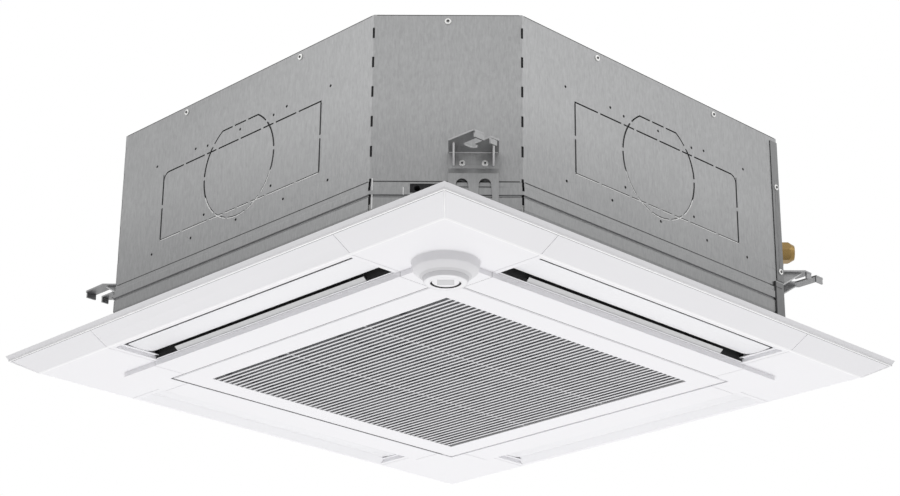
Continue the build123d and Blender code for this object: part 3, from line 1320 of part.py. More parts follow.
def pipe_tube(spread, diameter):
    """Bent copper tube, for the coil end on the right."""
    start, corner, end = [Vector(*p) for p in pipe_route(spread)]
    path = FilletPolyline(start, corner, end, radius=1.6 * diameter)
    section = Plane(origin=start, z_dir=(0, 1, 0)) * Circle(diameter / 2)
    return sweep(section, path)


def swap_xy(shape):
    """Mirror in the diagonal plane through the pipe corner."""
    return mirror(shape, Plane(origin=(0, 0, 0), z_dir=(1, -1, 0)))


def gas_pipe():
    union = flare_union(GAS_SPREAD, GAS_NUT_REACH, GAS_THREAD_DIAMETER)
    return pipe_tube(GAS_SPREAD, GAS_DIAMETER) + union


def liquid_pipe():
    union = flare_union(LIQUID_SPREAD, LIQUID_NUT_REACH, LIQUID_THREAD_DIAMETER)
    return swap_xy(pipe_tube(LIQUID_SPREAD, LIQUID_DIAMETER)) + union


def flare_union(spread, reach, thread):
    """Threaded end of a pipe: collar behind the nut and the thread inside it."""
    shoulder = reach - NUT_LENGTH
    collar = rod(thread / 2 + UNION_WALL, -10, shoulder)
    stub = rod(thread / 2, -10, reach - NUT_LENGTH / 2 - THREAD_END_GAP)
    return pipe_axis(spread) * (collar + stub)


def flare_nut(spread, reach, flats, thread, diameter):
    """Hexagon flare nut with a rounded nose; its outer bore takes the site pipe."""
    base = reach - NUT_LENGTH
    middle = reach - NUT_LENGTH / 2
    bore = diameter / 2 + PIPE_CLEARANCE
    wide = flats / math.sqrt(3) + 1
    tip = (bore + flats / 2) / 2
    nose = [(0, base - 1), (wide, base - 1), (wide, reach - NUT_NOSE), (flats / 2 + 0.5, reach - NUT_NOSE * 0.6),
            (tip + 1, reach - NUT_NOSE * 0.15), (tip, reach), (0, reach)]
    nut = hex_prism(flats, base, reach) & turned(nose)
    nut -= rod(thread / 2, base - 1, middle)
    return pipe_axis(spread) * (nut - rod(bore, middle - 1, reach + 1))


def gas_flare_nut():
    return flare_nut(GAS_SPREAD, GAS_NUT_REACH, GAS_NUT_ACROSS_FLATS, GAS_THREAD_DIAMETER, GAS_DIAMETER)


def liquid_flare_nut():
    return flare_nut(LIQUID_SPREAD, LIQUID_NUT_REACH, LIQUID_NUT_ACROSS_FLATS, LIQUID_THREAD_DIAMETER,
                     LIQUID_DIAMETER)


# ---------------------------------------------------------------- condensate parts
def drain_axis():
    """Frame of the drain socket: back left corner, local +Z points out."""
    return Rot(0, 0, 45) * Pos(0, CORNER_OUT, DRAIN_SOCKET_Z) * Rot(-90, 0, 0)


def pan_outlet():
    return block(-PAN_OUTLET_HALF_LENGTH, PAN_OUTLET_HALF_LENGTH, -PAN_OUTLET_OUTER, -PAN_OUTLET_INNER,
                 PAN_BOTTOM - 1, PAN_TOP + 1)


def drain_pan():
    """Foam pan: water trough under the coil, four air outlets, throat for the bell mouth."""
    outer = -SHEET - LINER_GAP
    pan = casing_tower([(outer, PAN_BOTTOM + SHEET + LINER_GAP), (outer, PAN_TOP)])
    under = CORNER_SUM - (BOTTOM_FLANGE + 4) * math.sqrt(2)
    foot = casing_tower([(outer, PAN_BOTTOM), (outer, PAN_BOTTOM + 2 * SHEET)]) & Rot(0, 0, 45) * Box(
        under * math.sqrt(2), under * math.sqrt(2), 4 * PAN_TOP)
    pan += foot
    throat = extrude(coil_outline(PAN_THROAT_HALF, BELL_CORNER), 2 * PAN_TOP)
    rebate = extrude(coil_outline(BELL_HALF + LINER_GAP, BELL_CORNER), BELL_PLATE_Z + BELL_WALL)
    pan = pan - throat - rebate
    for name in SIDES:
        pan -= on_side(name, pan_outlet())
    trough = extrude(coil_outline(COIL_HALF + TROUGH_MARGIN, COIL_CORNER + TROUGH_MARGIN), PAN_TOP)
    island = extrude(coil_outline(COIL_HALF - COIL_DEPTH - TROUGH_MARGIN, COIL_CORNER - COIL_DEPTH - TROUGH_MARGIN),
                     2 * PAN_TOP)
    pan -= Pos(0, 0, TROUGH_FLOOR) * (trough - island)
    sump = Pos(-PUMP_IN, PUMP_IN, 0) * rod(PUMP_RADIUS + 10, TROUGH_FLOOR, PAN_TOP + 1)
    float_well = float_place() * rod(FLOAT_DIAMETER / 2 + 4, TROUGH_FLOOR, PAN_TOP + 1)
    pan = pan - sump - float_well
    return pan - screw_clearances_panel()


def screw_clearances_panel():
    return [Pos(x, y, 0) * rod(PANEL_BOLT_DIAMETER / 2 + 1, 0, 20) for x, y in panel_bolt_places()]


def drain_pump():
    """Upright condensate pump: strainer foot in the sump, motor above, outlet stub on top."""
    low = TROUGH_FLOOR + LINER_GAP
    top = low + PUMP_HEIGHT
    r = PUMP_RADIUS
    body = turned([(0, low), (r * 0.5, low), (r * 0.5, low + 14), (r, low + 20), (r, low + 44), (r * 0.8, low + 46),
                   (r * 0.8, top), (0, top)])
    stub = rod(HOSE_DIAMETER / 2 - 2, top - 2, top + 12)
    return Pos(-PUMP_IN, PUMP_IN, 0) * (body + stub)


def pump_top():
    return TROUGH_FLOOR + LINER_GAP + PUMP_HEIGHT


def drain_hose():
    """Hose from the pump's outlet up and out to the drain socket."""
    out = Vector(-1, 1).normalized()
    start = Vector(-PUMP_IN, PUMP_IN, pump_top())
    end = out * (CORNER_OUT - INSULATION - 6) + Vector(0, 0, DRAIN_SOCKET_Z)
    corner = Vector(start.X, start.Y, DRAIN_SOCKET_Z)
    path = FilletPolyline(start, corner, end, radius=HOSE_DIAMETER * 0.7)
    tube = sweep(Plane(origin=start, z_dir=(0, 0, 1)) * Circle(HOSE_DIAMETER / 2), path)
    bore = Pos(-PUMP_IN, PUMP_IN, 0) * rod(HOSE_DIAMETER / 2 - 2, pump_top() - 1, pump_top() + 12.2)
    return tube - bore


def drain_socket():
    """Socket that the site drain pipe slips over."""
    inner_end = -INSULATION - 6
    tube = rod(DRAIN_SOCKET_DIAMETER / 2, inner_end, DRAIN_SOCKET_REACH)
    flange = rod(DRAIN_SOCKET_DIAMETER / 2 + 8, 0, 2.5)
    bore = rod(DRAIN_SOCKET_BORE / 2, inner_end + 4, DRAIN_SOCKET_REACH + 1)
    return drain_axis() * (tube + flange - bore)


def float_place():
    """Float stem beside the pump, along the back left corner."""
    step = FLOAT_SIDE_STEP / math.sqrt(2)
    return Pos(-PUMP_IN + step, PUMP_IN + step, 0)


def float_stem():
    """Stem with a foot, a stop below the float and a bracket to the pump."""
    low = TROUGH_FLOOR + LINER_GAP
    top = low + 60
    stem = rod(FLOAT_STEM_DIAMETER / 2, low, top)
    foot = rod(FLOAT_DIAMETER / 2, low, low + 2)
    stop = rod(FLOAT_DIAMETER / 2 - 2, low + 2 + FLOAT_HEIGHT + FLOAT_TRAVEL + 2,
               low + 2 + FLOAT_HEIGHT + FLOAT_TRAVEL + 4)
    arm_z = top - 6
    arm = Rot(0, 0, 45) * block(-FLOAT_SIDE_STEP + PUMP_RADIUS * 0.8, 0, -6, 6, arm_z, arm_z + 4)
    return float_place() * (stem + foot + stop + arm)


def float_ring():
    low = TROUGH_FLOOR + LINER_GAP + 2 + LINER_GAP
    return float_place() * ring(FLOAT_DIAMETER / 2, FLOAT_STEM_DIAMETER / 2 + 0.5, low, low + FLOAT_HEIGHT)


# ---------------------------------------------------------------- electrical box
def control_box():
    """Sheet tray under the bell mouth plate, open below."""
    y0, y1 = BOX_NEAR, BOX_NEAR + BOX_DEPTH
    half = BOX_LENGTH / 2
    top = BELL_PLATE_Z
    tray = block(-half, half, y0, y1, BOX_BOTTOM, top)
    tray -= block(-half + SHEET, half - SHEET, y0 + SHEET, y1 - SHEET, BOX_BOTTOM - 1, top - SHEET)
    return tray


def control_box_cover():
    y0, y1 = BOX_NEAR, BOX_NEAR + BOX_DEPTH
    half = BOX_LENGTH / 2
    lid = block(-half, half, y0, y1, BOX_BOTTOM - SHEET, BOX_BOTTOM)
    edge = block(-half + 1.2, half - 1.2, y0 + 1.2, y1 - 1.2, BOX_BOTTOM, BOX_BOTTOM + 6)
    edge -= block(-half + 2.2, half - 2.2, y0 + 2.2, y1 - 2.2, BOX_BOTTOM - 1, BOX_BOTTOM + 7)
    return lid + edge


def control_board():
    """Circuit board on four posts, with a relay block and two capacitors."""
    top = BELL_PLATE_Z - SHEET
    z = top - 8
    x0 = -BOX_LENGTH / 2 + BOARD_GAP
    x1 = BOX_LENGTH / 2 - BOARD_GAP - TERMINAL_LENGTH - TERMINAL_GAP
    y0, y1 = BOX_NEAR + 5, BOX_NEAR + BOX_DEPTH - 5
    board = block(x0, x1, y0, y1, z - BOARD_THICKNESS, z)
    for x in (x0 + 6, x1 - 6):
        for y in (y0 + 6, y1 - 6):
            board += Pos(x, y, 0) * rod(3, z - 0.5, top)
    relay = x0 + RELAY_SIZE / 2
    board += block(relay, relay + RELAY_SIZE, y0 + 8, y0 + RELAY_SIZE, z - BOARD_THICKNESS - 14, z - 1)
    for i in (1, 2):
        x = relay + RELAY_SIZE + CAPACITOR_PITCH * i
        board += Pos(x, (y0 + y1) / 2, 0) * rod(CAPACITOR_DIAMETER / 2, z - BOARD_THICKNESS - 20, z - 1)
    return board


def terminal_block():
    """Six-way terminal strip beside the board."""
    top = BELL_PLATE_Z - SHEET
    x1 = BOX_LENGTH / 2 - BOARD_GAP
    x0 = x1 - TERMINAL_LENGTH
    y0 = BOX_NEAR + 16
    strip = block(x0, x1, y0, y0 + 26, top - 16, top)
    ways = 6
    pitch = (x1 - x0 - 4) / ways
    for i in range(ways):
        x = x0 + 2 + pitch * (i + 0.5)
        strip -= Pos(x, y0 + 13, 0) * rod(2.5, top - 17, top - 10)
        strip -= block(x - 3, x + 3, y0 - 1, y0 + 5, top - 17, top - 6)
    return strip


# ---------------------------------------------------------------- write the nodes
def nodes():
    front_right = hanger()
    parts = {
        "casing_wrap": casing_wrap() - screw_clearances(
            casing_screw_places() + cover_screw_places() + hanger_screw_places()) - drain_axis() * rod(
            DRAIN_SOCKET_DIAMETER / 2 + 0.5, -6, 6),
        "top_plate": top_plate() - screw_clearances(casing_screw_places()),
        "casing_insulation": casing_insulation(),
        "pipe_cover": pipe_cover() - screw_clearances(cover_screw_places()),
        "pipe_cover_base": pipe_cover_base(),
        "casing_screws": casing_screws(),
        "cable_bushing": cable_bushing(),
        "hanger_front_right": front_right,
        "hanger_back_right": mirrored_y(front_right),
        "hanger_front_left": mirrored_x(front_right),
        "hanger_back_left": mirrored_x(mirrored_y(front_right)),
        "hanger_screws": hanger_screws(),
        "panel_frame": panel_frame(),
        "outlet_liners": outlet_liners(),
        "panel_gasket": panel_gasket(),
        "panel_screws": panel_screws(),
        "corner_cover_sensor": sensor_cover(),
        "corner_cover_back_right": corner_cover(1, 1),
        "corner_cover_front_left": corner_cover(-1, -1),
        "corner_cover_back_left": corner_cover(-1, 1),
        "sensor_ring": sensor_ring(),
        "sensor_turret": sensor_turret(),
        "sensor_lens": sensor_lens(),
        "sensor_motor": sensor_motor(),
        "vane_motors": vane_motors(),
        "intake_grille": intake_grille(),
        "grille_hinge_pins": grille_hinge_pins(),
        "grille_catch_sockets": grille_catch_sockets(),
        "air_filter_frame": air_filter_frame(),
        "air_filter_net": air_filter_net(),
        "turbo_fan": turbo_fan(),
        "fan_shaft": fan_shaft(),
        "fan_nut": fan_nut(),
        "fan_motor": fan_motor(),
        "motor_mounts": motor_mounts(),
        "motor_bolts": motor_bolts(),
        "bell_mouth": bell_mouth(),
        "coil_fins": coil_fins(),
        "coil_end_plates": coil_end_plates(),
        "coil_bends": coil_bends(),
        "drain_pan": drain_pan(),
        "drain_pump": drain_pump(),
        "drain_hose": drain_hose(),
        "drain_socket": drain_socket(),
        "float_stem": float_stem(),
        "float_ring": float_ring(),
        "gas_pipe": gas_pipe(),
        "gas_flare_nut": gas_flare_nut(),
        "liquid_pipe": liquid_pipe(),
        "liquid_flare_nut": liquid_flare_nut(),
        "control_box": control_box(),
        "control_box_cover": control_box_cover(),
        "control_board": control_board(),
        "terminal_block": terminal_block(),
    }
    blade = vane()
    for name in SIDES:
        parts["vane_" + name] = on_side(name, blade)
    return parts


os.makedirs("parts", exist_ok=True)
for node, shape in nodes().items():
    export_step(shape, "parts/" + node + ".step")
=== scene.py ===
import json
import math

import bpy
from mathutils import Matrix, Vector


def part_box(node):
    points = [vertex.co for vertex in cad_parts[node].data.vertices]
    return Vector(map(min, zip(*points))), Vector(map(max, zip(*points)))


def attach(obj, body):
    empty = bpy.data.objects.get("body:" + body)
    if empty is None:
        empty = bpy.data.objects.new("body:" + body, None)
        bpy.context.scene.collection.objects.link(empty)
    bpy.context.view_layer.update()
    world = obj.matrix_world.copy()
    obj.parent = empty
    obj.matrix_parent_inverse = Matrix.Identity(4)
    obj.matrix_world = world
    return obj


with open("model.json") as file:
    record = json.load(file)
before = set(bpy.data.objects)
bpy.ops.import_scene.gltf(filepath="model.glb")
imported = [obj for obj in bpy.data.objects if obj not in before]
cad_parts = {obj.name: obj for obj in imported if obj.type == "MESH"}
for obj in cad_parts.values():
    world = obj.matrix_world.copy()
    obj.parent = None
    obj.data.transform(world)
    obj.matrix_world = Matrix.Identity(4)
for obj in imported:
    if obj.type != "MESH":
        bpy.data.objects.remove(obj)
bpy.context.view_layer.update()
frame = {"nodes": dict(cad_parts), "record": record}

# Looks for a four-way ceiling cassette air conditioner. Metres, +Z up.
# The origin is the unit's centre in the plane of the ceiling, -Y is the front, +X the right side.

NODES = frame["nodes"]
SUBPARTS = frame["record"]["subparts"]

# ---------------------------------------------------------------- camera
CAMERA_PLACE = (2.14029, -2.09068, -1.01177)
CAMERA_TARGET = (-0.00026, -0.00027, 0.17996)
CAMERA_LENS = 83.54
CAMERA_SENSOR = 36.0
CAMERA_ROLL = math.radians(0.518)
CAMERA_REACH = 300.0

# ---------------------------------------------------------------- stage
FLOOR_Z = -7.0
FLOOR_RADIUS = 90.0
FLOOR_SIDES = 96
FLOOR_COLOUR = (0.82, 0.82, 0.81)
FLOOR_WHITENING = 0.8       # share of plain white in what the camera sees of the floor
WORLD_STRENGTH = 0.68       # light that the surroundings give to matt surfaces

# ---------------------------------------------------------------- places read from the frame
X, Y, Z = range(3)
CORNERS = ((-1, -1), (-1, 1), (1, -1), (1, 1))          # signs of x and y


def lowest(node, axis):
    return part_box(node)[0][axis]


def highest(node, axis):
    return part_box(node)[1][axis]


PANEL_HALF = highest("panel_frame", X)
FACE_Z = lowest("panel_frame", Z)               # intake surround, and the grille's face
FLAT_Z = FACE_Z + 0.007                         # flats at the panel's corners
GRILLE_HALF = highest("intake_grille", X)
COVER_EDGE = lowest("corner_cover_sensor", X)   # inner edge of the corner covers
VANE_EDGE = highest("vane_right", X)            # outer edge of the vanes
SENSOR_IN = (lowest("sensor_ring", X) + highest("sensor_ring", X)) / 2      # from both middle planes
RING_Z = lowest("sensor_ring", Z)
CUP_Z = lowest("sensor_turret", Z)
CASING_HALF = highest("pipe_cover_base", X)     # this plate is flush with the casing's flat sides
CASING_TOP = highest("casing_wrap", Z)
HANGER_SHEET = 0.0025
HANGER_Z = highest("hanger_front_right", Z) - HANGER_SHEET       # underside of the rod plate


# ---------------------------------------------------------------- materials
class Finish:
    """A material under construction: a Principled shader, and short calls for the nodes that feed it."""

    MIX_SOCKETS = {"FLOAT": (2, 3, 0), "RGBA": (6, 7, 2)}       # two inputs and the output, by kind

    def __init__(self, name, roughness, metallic=0.0):
        self.material = bpy.data.materials.new(name)
        self.tree = empty_tree(self.material)
        self.shader = self.node("ShaderNodeBsdfPrincipled")
        output = self.node("ShaderNodeOutputMaterial")
        self.link(self.shader.outputs[0], output.inputs["Surface"])
        self.place = self.node("ShaderNodeTexCoord").outputs["Object"]
        self.shader.inputs["Roughness"].default_value = roughness
        self.shader.inputs["Metallic"].default_value = metallic

    def node(self, kind, **values):
        made = self.tree.nodes.new(kind)
        for key, value in values.items():
            setattr(made, key, value)
        return made

    def link(self, source, target):
        self.tree.links.new(source, target)

    def fill(self, target, value):
        """Puts a number, a colour or another node's output into a socket."""
        if isinstance(value, bpy.types.NodeSocket):
            self.link(value, target)
        else:
            target.default_value = value

    def axes(self, vector=None):
        """X, Y and Z of a vector, or of the object coordinates."""
        split = self.node("ShaderNodeSeparateXYZ")
        self.link(self.place if vector is None else vector, split.inputs[0])
        return tuple(split.outputs)

    def stretched(self, scale):
        """Object coordinates in units of scale repeats per metre, one number or three."""
        scale = (scale,) * 3 if isinstance(scale, (int, float)) else scale
        mapping = self.node("ShaderNodeMapping")
        mapping.inputs["Scale"].default_value = scale
        self.link(self.place, mapping.inputs["Vector"])
        return mapping.outputs[0]

    def noise(self, scale, detail=3.0, roughness=0.5):
        texture = self.node("ShaderNodeTexNoise")
        self.link(self.stretched(scale), texture.inputs["Vector"])
        texture.inputs["Scale"].default_value = 1.0
        texture.inputs["Detail"].default_value = detail
        texture.inputs["Roughness"].default_value = roughness
        return texture.outputs[0]

    def cells(self, scale, feature="F1", output="Distance"):
        texture = self.node("ShaderNodeTexVoronoi", feature=feature)
        self.link(self.stretched(scale), texture.inputs["Vector"])
        texture.inputs["Scale"].default_value = 1.0
        return texture.outputs[output]

    def bands(self, coordinate, per_metre, softness):
        """Stripes across a coordinate: one on the crests and zero between them."""
        turns = self.math("MULTIPLY", coordinate, per_metre * 2 * math.pi)
        return self.between(self.math("SINE", turns), 0.0, 1.0, -softness, softness)

    def math(self, operation, a, b=0.0):
        made = self.node("ShaderNodeMath", operation=operation)
        self.fill(made.inputs[0], a)
        self.fill(made.inputs[1], b)
        return made.outputs[0]

    def sums(self, *parts):
        """Adds weight * (value - middle) of each (value, middle, weight) to one half."""
        total = 0.5
        for value, middle, weight in parts:
            shifted = self.math("SUBTRACT", value, middle)
            total = self.math("ADD", self.math("MULTIPLY", shifted, weight), total)
        return total

    def between(self, factor, low, high, start=0.0, end=1.0):
        """Number that runs from low to high as factor runs from start to end."""
        made = self.node("ShaderNodeMapRange")
        self.fill(made.inputs["Value"], factor)
        made.inputs["From Min"].default_value = start
        made.inputs["From Max"].default_value = end
        made.inputs["To Min"].default_value = low
        made.inputs["To Max"].default_value = high
        return made.outputs[0]

    def mix(self, kind, factor, first, second):
        """Value between two numbers (kind FLOAT) or two colours (kind RGBA)."""
        first_socket, second_socket, result = self.MIX_SOCKETS[kind]
        made = self.node("ShaderNodeMix", data_type=kind)
        self.fill(made.inputs[0], factor)
        self.fill(made.inputs[first_socket], first)
        self.fill(made.inputs[second_socket], second)
        return made.outputs[result]

    def colour(self, factor, dark, light, share=None):
        """Base colour between two tones, times a share of painted shade where one is given."""
        mixed = self.mix("RGBA", factor, (*dark, 1.0), (*light, 1.0))
        if share is not None:
            made = self.node("ShaderNodeVectorMath", operation="SCALE")
            self.link(mixed, made.inputs[0])
            self.link(share, made.inputs["Scale"])
            mixed = made.outputs[0]
        self.link(mixed, self.shader.inputs["Base Color"])

    def dull(self, factor, low, high):
        """Roughness between two values."""
        self.link(self.between(factor, low, high), self.shader.inputs["Roughness"])

    def relief(self, height, depth, strength=1.0):
        """Raises the surface by depth metres where height is one."""
        bump = self.node("ShaderNodeBump")
        bump.inputs["Strength"].default_value = strength
        bump.inputs["Distance"].default_value = depth
        self.link(height, bump.inputs["Height"])
        self.link(bump.outputs[0], self.shader.inputs["Normal"])


def empty_tree(owner):
    """Node tree of a material or a world, without its first nodes."""
    owner.use_nodes = True
    owner.node_tree.nodes.clear()
    return owner.node_tree


def toned(colour, share):
    return tuple(min(1.0, c * share) for c in colour)


# Painted shade: the tones below darken the sheet's colour where the casing lies in shade.
# Zinc-coated sheet is darker towards the panel and towards the left, as in the photograph. Each line
# holds the tones at both ends and the places where they are reached.
SHEET_SHADE_UPWARDS = (0.67, 1.0, 0.0, 0.2)
SHEET_SHADE_ACROSS = (0.92, 1.05, -0.28, 0.28)


def sheet_steel(name, colour, spread, metallic=1.0):
    """Zinc-coated sheet: fine upright streaks, soft mottling, a little waviness, and painted shade towards
    the panel and towards the left.
    """
    finish = Finish(name, 0.42, metallic)
    streaks = finish.noise((420, 420, 85), detail=4.0, roughness=0.62)
    spangle = finish.cells((260, 260, 150), output="Color")
    clouds = finish.noise((5, 5, 7), detail=2.0)
    across, _, height = finish.axes()
    # painted shade, darker towards the panel and towards the left
    share = finish.math("MULTIPLY", finish.between(height, *SHEET_SHADE_UPWARDS),
                        finish.between(across, *SHEET_SHADE_ACROSS))
    finish.colour(finish.sums((streaks, 0.5, 1.9), (clouds, 0.5, 0.5), (spangle, 0.5, 0.3)),
                  toned(colour, 1 - spread), toned(colour, 1 + spread), share)
    finish.dull(finish.sums((streaks, 0.5, 0.8), (clouds, 0.5, 0.6)), 0.34, 0.5)
    finish.relief(finish.sums((streaks, 0.5, 0.8), (clouds, 0.5, 0.2)), 0.0003, 0.35)
    return finish.material


def moulded(name, colour, roughness, grain=2600.0, depth=0.00003, spread=0.012, share=None):
    """Injection-moulded plastic: fine texture of the mould, barely visible tone changes, and painted shade
    where a share is given.
    """
    finish = Finish(name, roughness)
    texture = finish.noise(grain, detail=2.0)
    clouds = finish.noise(9.0, detail=2.0)
    finish.colour(finish.sums((clouds, 0.5, 1.0), (texture, 0.5, 0.4)),
                  toned(colour, 1 - spread), toned(colour, 1 + spread),
                  share(finish) if share else None)
    finish.dull(finish.sums((texture, 0.5, 0.8), (clouds, 0.5, 0.5)), roughness - 0.05, roughness + 0.07)
    finish.relief(texture, depth, 0.5)
    return finish.material


def bare_metal(name, colour, roughness, spread=0.08, scale=180.0, depth=0.00002):
    """Machined or plated metal with faint tool marks and stains."""
    finish = Finish(name, roughness, metallic=1.0)
    marks = finish.noise((scale * 3, scale * 3, scale), detail=3.0)
    stains = finish.noise(scale / 6, detail=3.0)
    finish.colour(finish.sums((stains, 0.5, 1.6), (marks, 0.5, 0.8)),
                  toned(colour, 1 - spread), toned(colour, 1 + spread))
    finish.dull(finish.sums((marks, 0.5, 0.9), (stains, 0.5, 0.7)), roughness - 0.07, roughness + 0.1)
    finish.relief(marks, depth, 0.5)
    return finish.material


def foam(name, dark, light, scale, roughness=0.95, depth=0.0004):
    """Foam with cells of 1 / scale metres."""
    finish = Finish(name, roughness)
    cells = finish.cells(scale)
    pores = finish.noise(scale * 2.5, detail=2.0)
    finish.colour(finish.sums((cells, 0.4, 0.9), (pores, 0.5, 0.6)), light, dark)
    finish.dull(pores, roughness - 0.08, roughness)
    finish.relief(finish.sums((cells, 0.4, -0.9), (pores, 0.5, 0.3)), depth, 0.7)
    return finish.material


def fin_stack(name, per_metre=330.0):
    """Thin aluminium fins seen on edge, with slight bends."""
    finish = Finish(name, 0.38, metallic=1.0)
    normal = finish.node("ShaderNodeNewGeometry").outputs["Normal"]
    sideways = finish.math("ABSOLUTE", finish.axes(normal)[X])
    x, y, _ = finish.axes()
    lines = finish.mix("FLOAT", finish.between(sideways, 0.0, 1.0, 0.6, 0.8),
                       finish.bands(x, per_metre, 0.7), finish.bands(y, per_metre, 0.7))
    stains = finish.noise(30.0, detail=4.0)
    finish.colour(finish.sums((lines, 0.5, 0.8), (stains, 0.5, 0.5)),
                  (0.16, 0.165, 0.17), (0.74, 0.75, 0.76))
    finish.dull(stains, 0.3, 0.5)
    finish.relief(lines, 0.0005, 0.6)
    return finish.material


def net(name, per_metre=420.0):
    """Woven filter net: two crossing rows of fine threads."""
    finish = Finish(name, 0.8)
    x, y, _ = finish.axes()
    threads = finish.math("MAXIMUM", finish.bands(x, per_metre, 0.8), finish.bands(y, per_metre, 0.8))
    dust = finish.noise(22.0, detail=5.0)
    finish.colour(finish.sums((threads, 0.5, 0.7), (dust, 0.5, 0.5)),
                  (0.035, 0.036, 0.04), (0.2, 0.205, 0.215))
    finish.dull(dust, 0.7, 0.9)
    finish.relief(threads, 0.0003, 0.8)
    return finish.material


def circuit_board(name):
    """Green board with copper tracks under the lacquer."""
    finish = Finish(name, 0.4)
    tracks = finish.cells((160, 160, 20), feature="DISTANCE_TO_EDGE")
    edges = finish.between(tracks, 1.0, 0.0, 0.04, 0.09)
    stains = finish.noise(60.0, detail=3.0)
    finish.colour(finish.sums((edges, 0.5, 0.6), (stains, 0.5, 0.5)),
                  (0.02, 0.13, 0.06), (0.12, 0.34, 0.17))
    finish.dull(stains, 0.32, 0.5)
    finish.relief(edges, 0.0001, 0.5)
    return finish.material


# Where painted shade changes on one piece: the two places between which it does so.
DOME_EDGE = (0.0452, 0.0457)                    # radius at the foot of the sensor's dome
DOME_NECK = (0.0335, 0.0348)                    # radius inside which the dome is darker still
COLLAR_FOOT = (RING_Z + 0.0002, RING_Z + 0.0009)        # height of the collar's white foot
SLAT_FIELD = (0.2516, 0.2522)                   # half width of the slatted field
SLAT_DEPTH = (FACE_Z + 0.0010, FACE_Z + 0.0015)         # height between the slats' faces and their sides


def dome_painted_shade(finish):
    """Painted shade: a slightly darker tone on the sensor's dome than on the flat round it, more so at its
    neck.
    """
    x, y, _ = finish.axes()
    x = finish.math("SUBTRACT", x, SENSOR_IN)
    y = finish.math("ADD", y, SENSOR_IN)
    squares = finish.math("ADD", finish.math("MULTIPLY", x, x), finish.math("MULTIPLY", y, y))
    radius = finish.math("SQRT", squares)
    return finish.math("MULTIPLY", finish.between(radius, 0.9, 1.0, *DOME_EDGE),
                       finish.between(radius, 0.85, 1.0, *DOME_NECK))


def collar_painted_shade(finish):
    """Painted shade on the collar below the sensor's dome: a darker wall above a white foot."""
    return finish.between(finish.axes()[Z], 1.0, 0.8, *COLLAR_FOOT)


def slat_painted_shade(finish):
    """Painted shade: greyer tone on the slatted field than on the frame round it, darkest between the slats.
    """
    x, y, height = finish.axes()
    reach = finish.math("MAXIMUM", finish.math("ABSOLUTE", x), finish.math("ABSOLUTE", y))
    deep = finish.between(height, 1.0, 0.6, *SLAT_DEPTH)
    outside = finish.between(reach, 0.0, 1.0, *SLAT_FIELD)
    return finish.math("MULTIPLY", finish.between(reach, 0.84, 1.0, *SLAT_FIELD),
                       finish.math("MAXIMUM", deep, outside))


WHITE = (0.875, 0.868, 0.897)
ZINC = (0.365, 0.367, 0.37)

FINISHES = {
    "galvanised": sheet_steel("zinc_sheet", ZINC, 0.13),
    "screw_steel": bare_metal("zinc_plate", (0.8, 0.8, 0.79), 0.3, spread=0.06),
    "white_plastic": moulded("white_moulding", WHITE, 0.42),
    "vane_plastic": moulded("vane_moulding", (0.86, 0.857, 0.884), 0.45),
    "sensor_ring_plastic": moulded("ring_moulding", (0.88, 0.875, 0.9), 0.3),
    "sensor_cup_plastic": moulded("cup_moulding", (0.86, 0.855, 0.88), 0.35),
    "sensor_window": moulded("window_moulding", (0.62, 0.62, 0.64), 0.15, depth=0.00001),
    "dark_foam": foam("black_foam", (0.012, 0.012, 0.013), (0.04, 0.041, 0.043), 700.0),
    "pan_foam": foam("bead_foam", (0.6, 0.6, 0.59), (0.84, 0.84, 0.83), 280.0, roughness=0.8),
    "black_plastic": moulded("black_moulding", (0.03, 0.03, 0.032), 0.5, spread=0.15),
    "grey_plastic": moulded("grey_moulding", (0.34, 0.35, 0.36), 0.5, spread=0.05),
    "brass": bare_metal("nut_brass", (0.3, 0.2, 0.078), 0.26, spread=0.2),
    "copper": bare_metal("tube_copper", (0.72, 0.4, 0.26), 0.3, spread=0.16),
    "fin_aluminium": fin_stack("coil_fin"),
    "motor_metal": bare_metal("motor_shell", (0.5, 0.51, 0.52), 0.4, scale=120.0),
    "rubber": moulded("black_rubber", (0.03, 0.03, 0.03), 0.75, grain=1200.0, depth=0.0001, spread=0.2),
    "board_green": circuit_board("lacquered_board"),
    "filter_grey": moulded("filter_moulding", (0.16, 0.165, 0.175), 0.55, spread=0.08),
    "filter_mesh": net("filter_weave"),
}

# lighter copy of the zinc sheet on the hangers is painted light; darker copy on the pipe cover's plates is
# painted shade
HANGER_ZINC_LIT = sheet_steel("hanger_zinc_lit", toned(ZINC, 1.12), 0.12, metallic=0.75)
PLATE_ZINC_SHADED = sheet_steel("plate_zinc_shaded", toned(ZINC, 0.66), 0.12)
# nodes whose tone differs from that of the other nodes of their slot: black on the bushing, painted light or
# shade on the others
OWN_FINISHES = {
    "corner_cover_sensor": moulded("dome_painted_shade_moulding", WHITE, 0.42, share=dome_painted_shade),
    "intake_grille": moulded("slat_painted_shade_moulding", WHITE, 0.42, share=slat_painted_shade),
    "cable_bushing": FINISHES["dark_foam"],
    "pipe_cover": PLATE_ZINC_SHADED,
    "pipe_cover_base": PLATE_ZINC_SHADED,
}
for hanger in ("front_right", "back_right", "front_left", "back_left"):
    OWN_FINISHES["hanger_" + hanger] = HANGER_ZINC_LIT

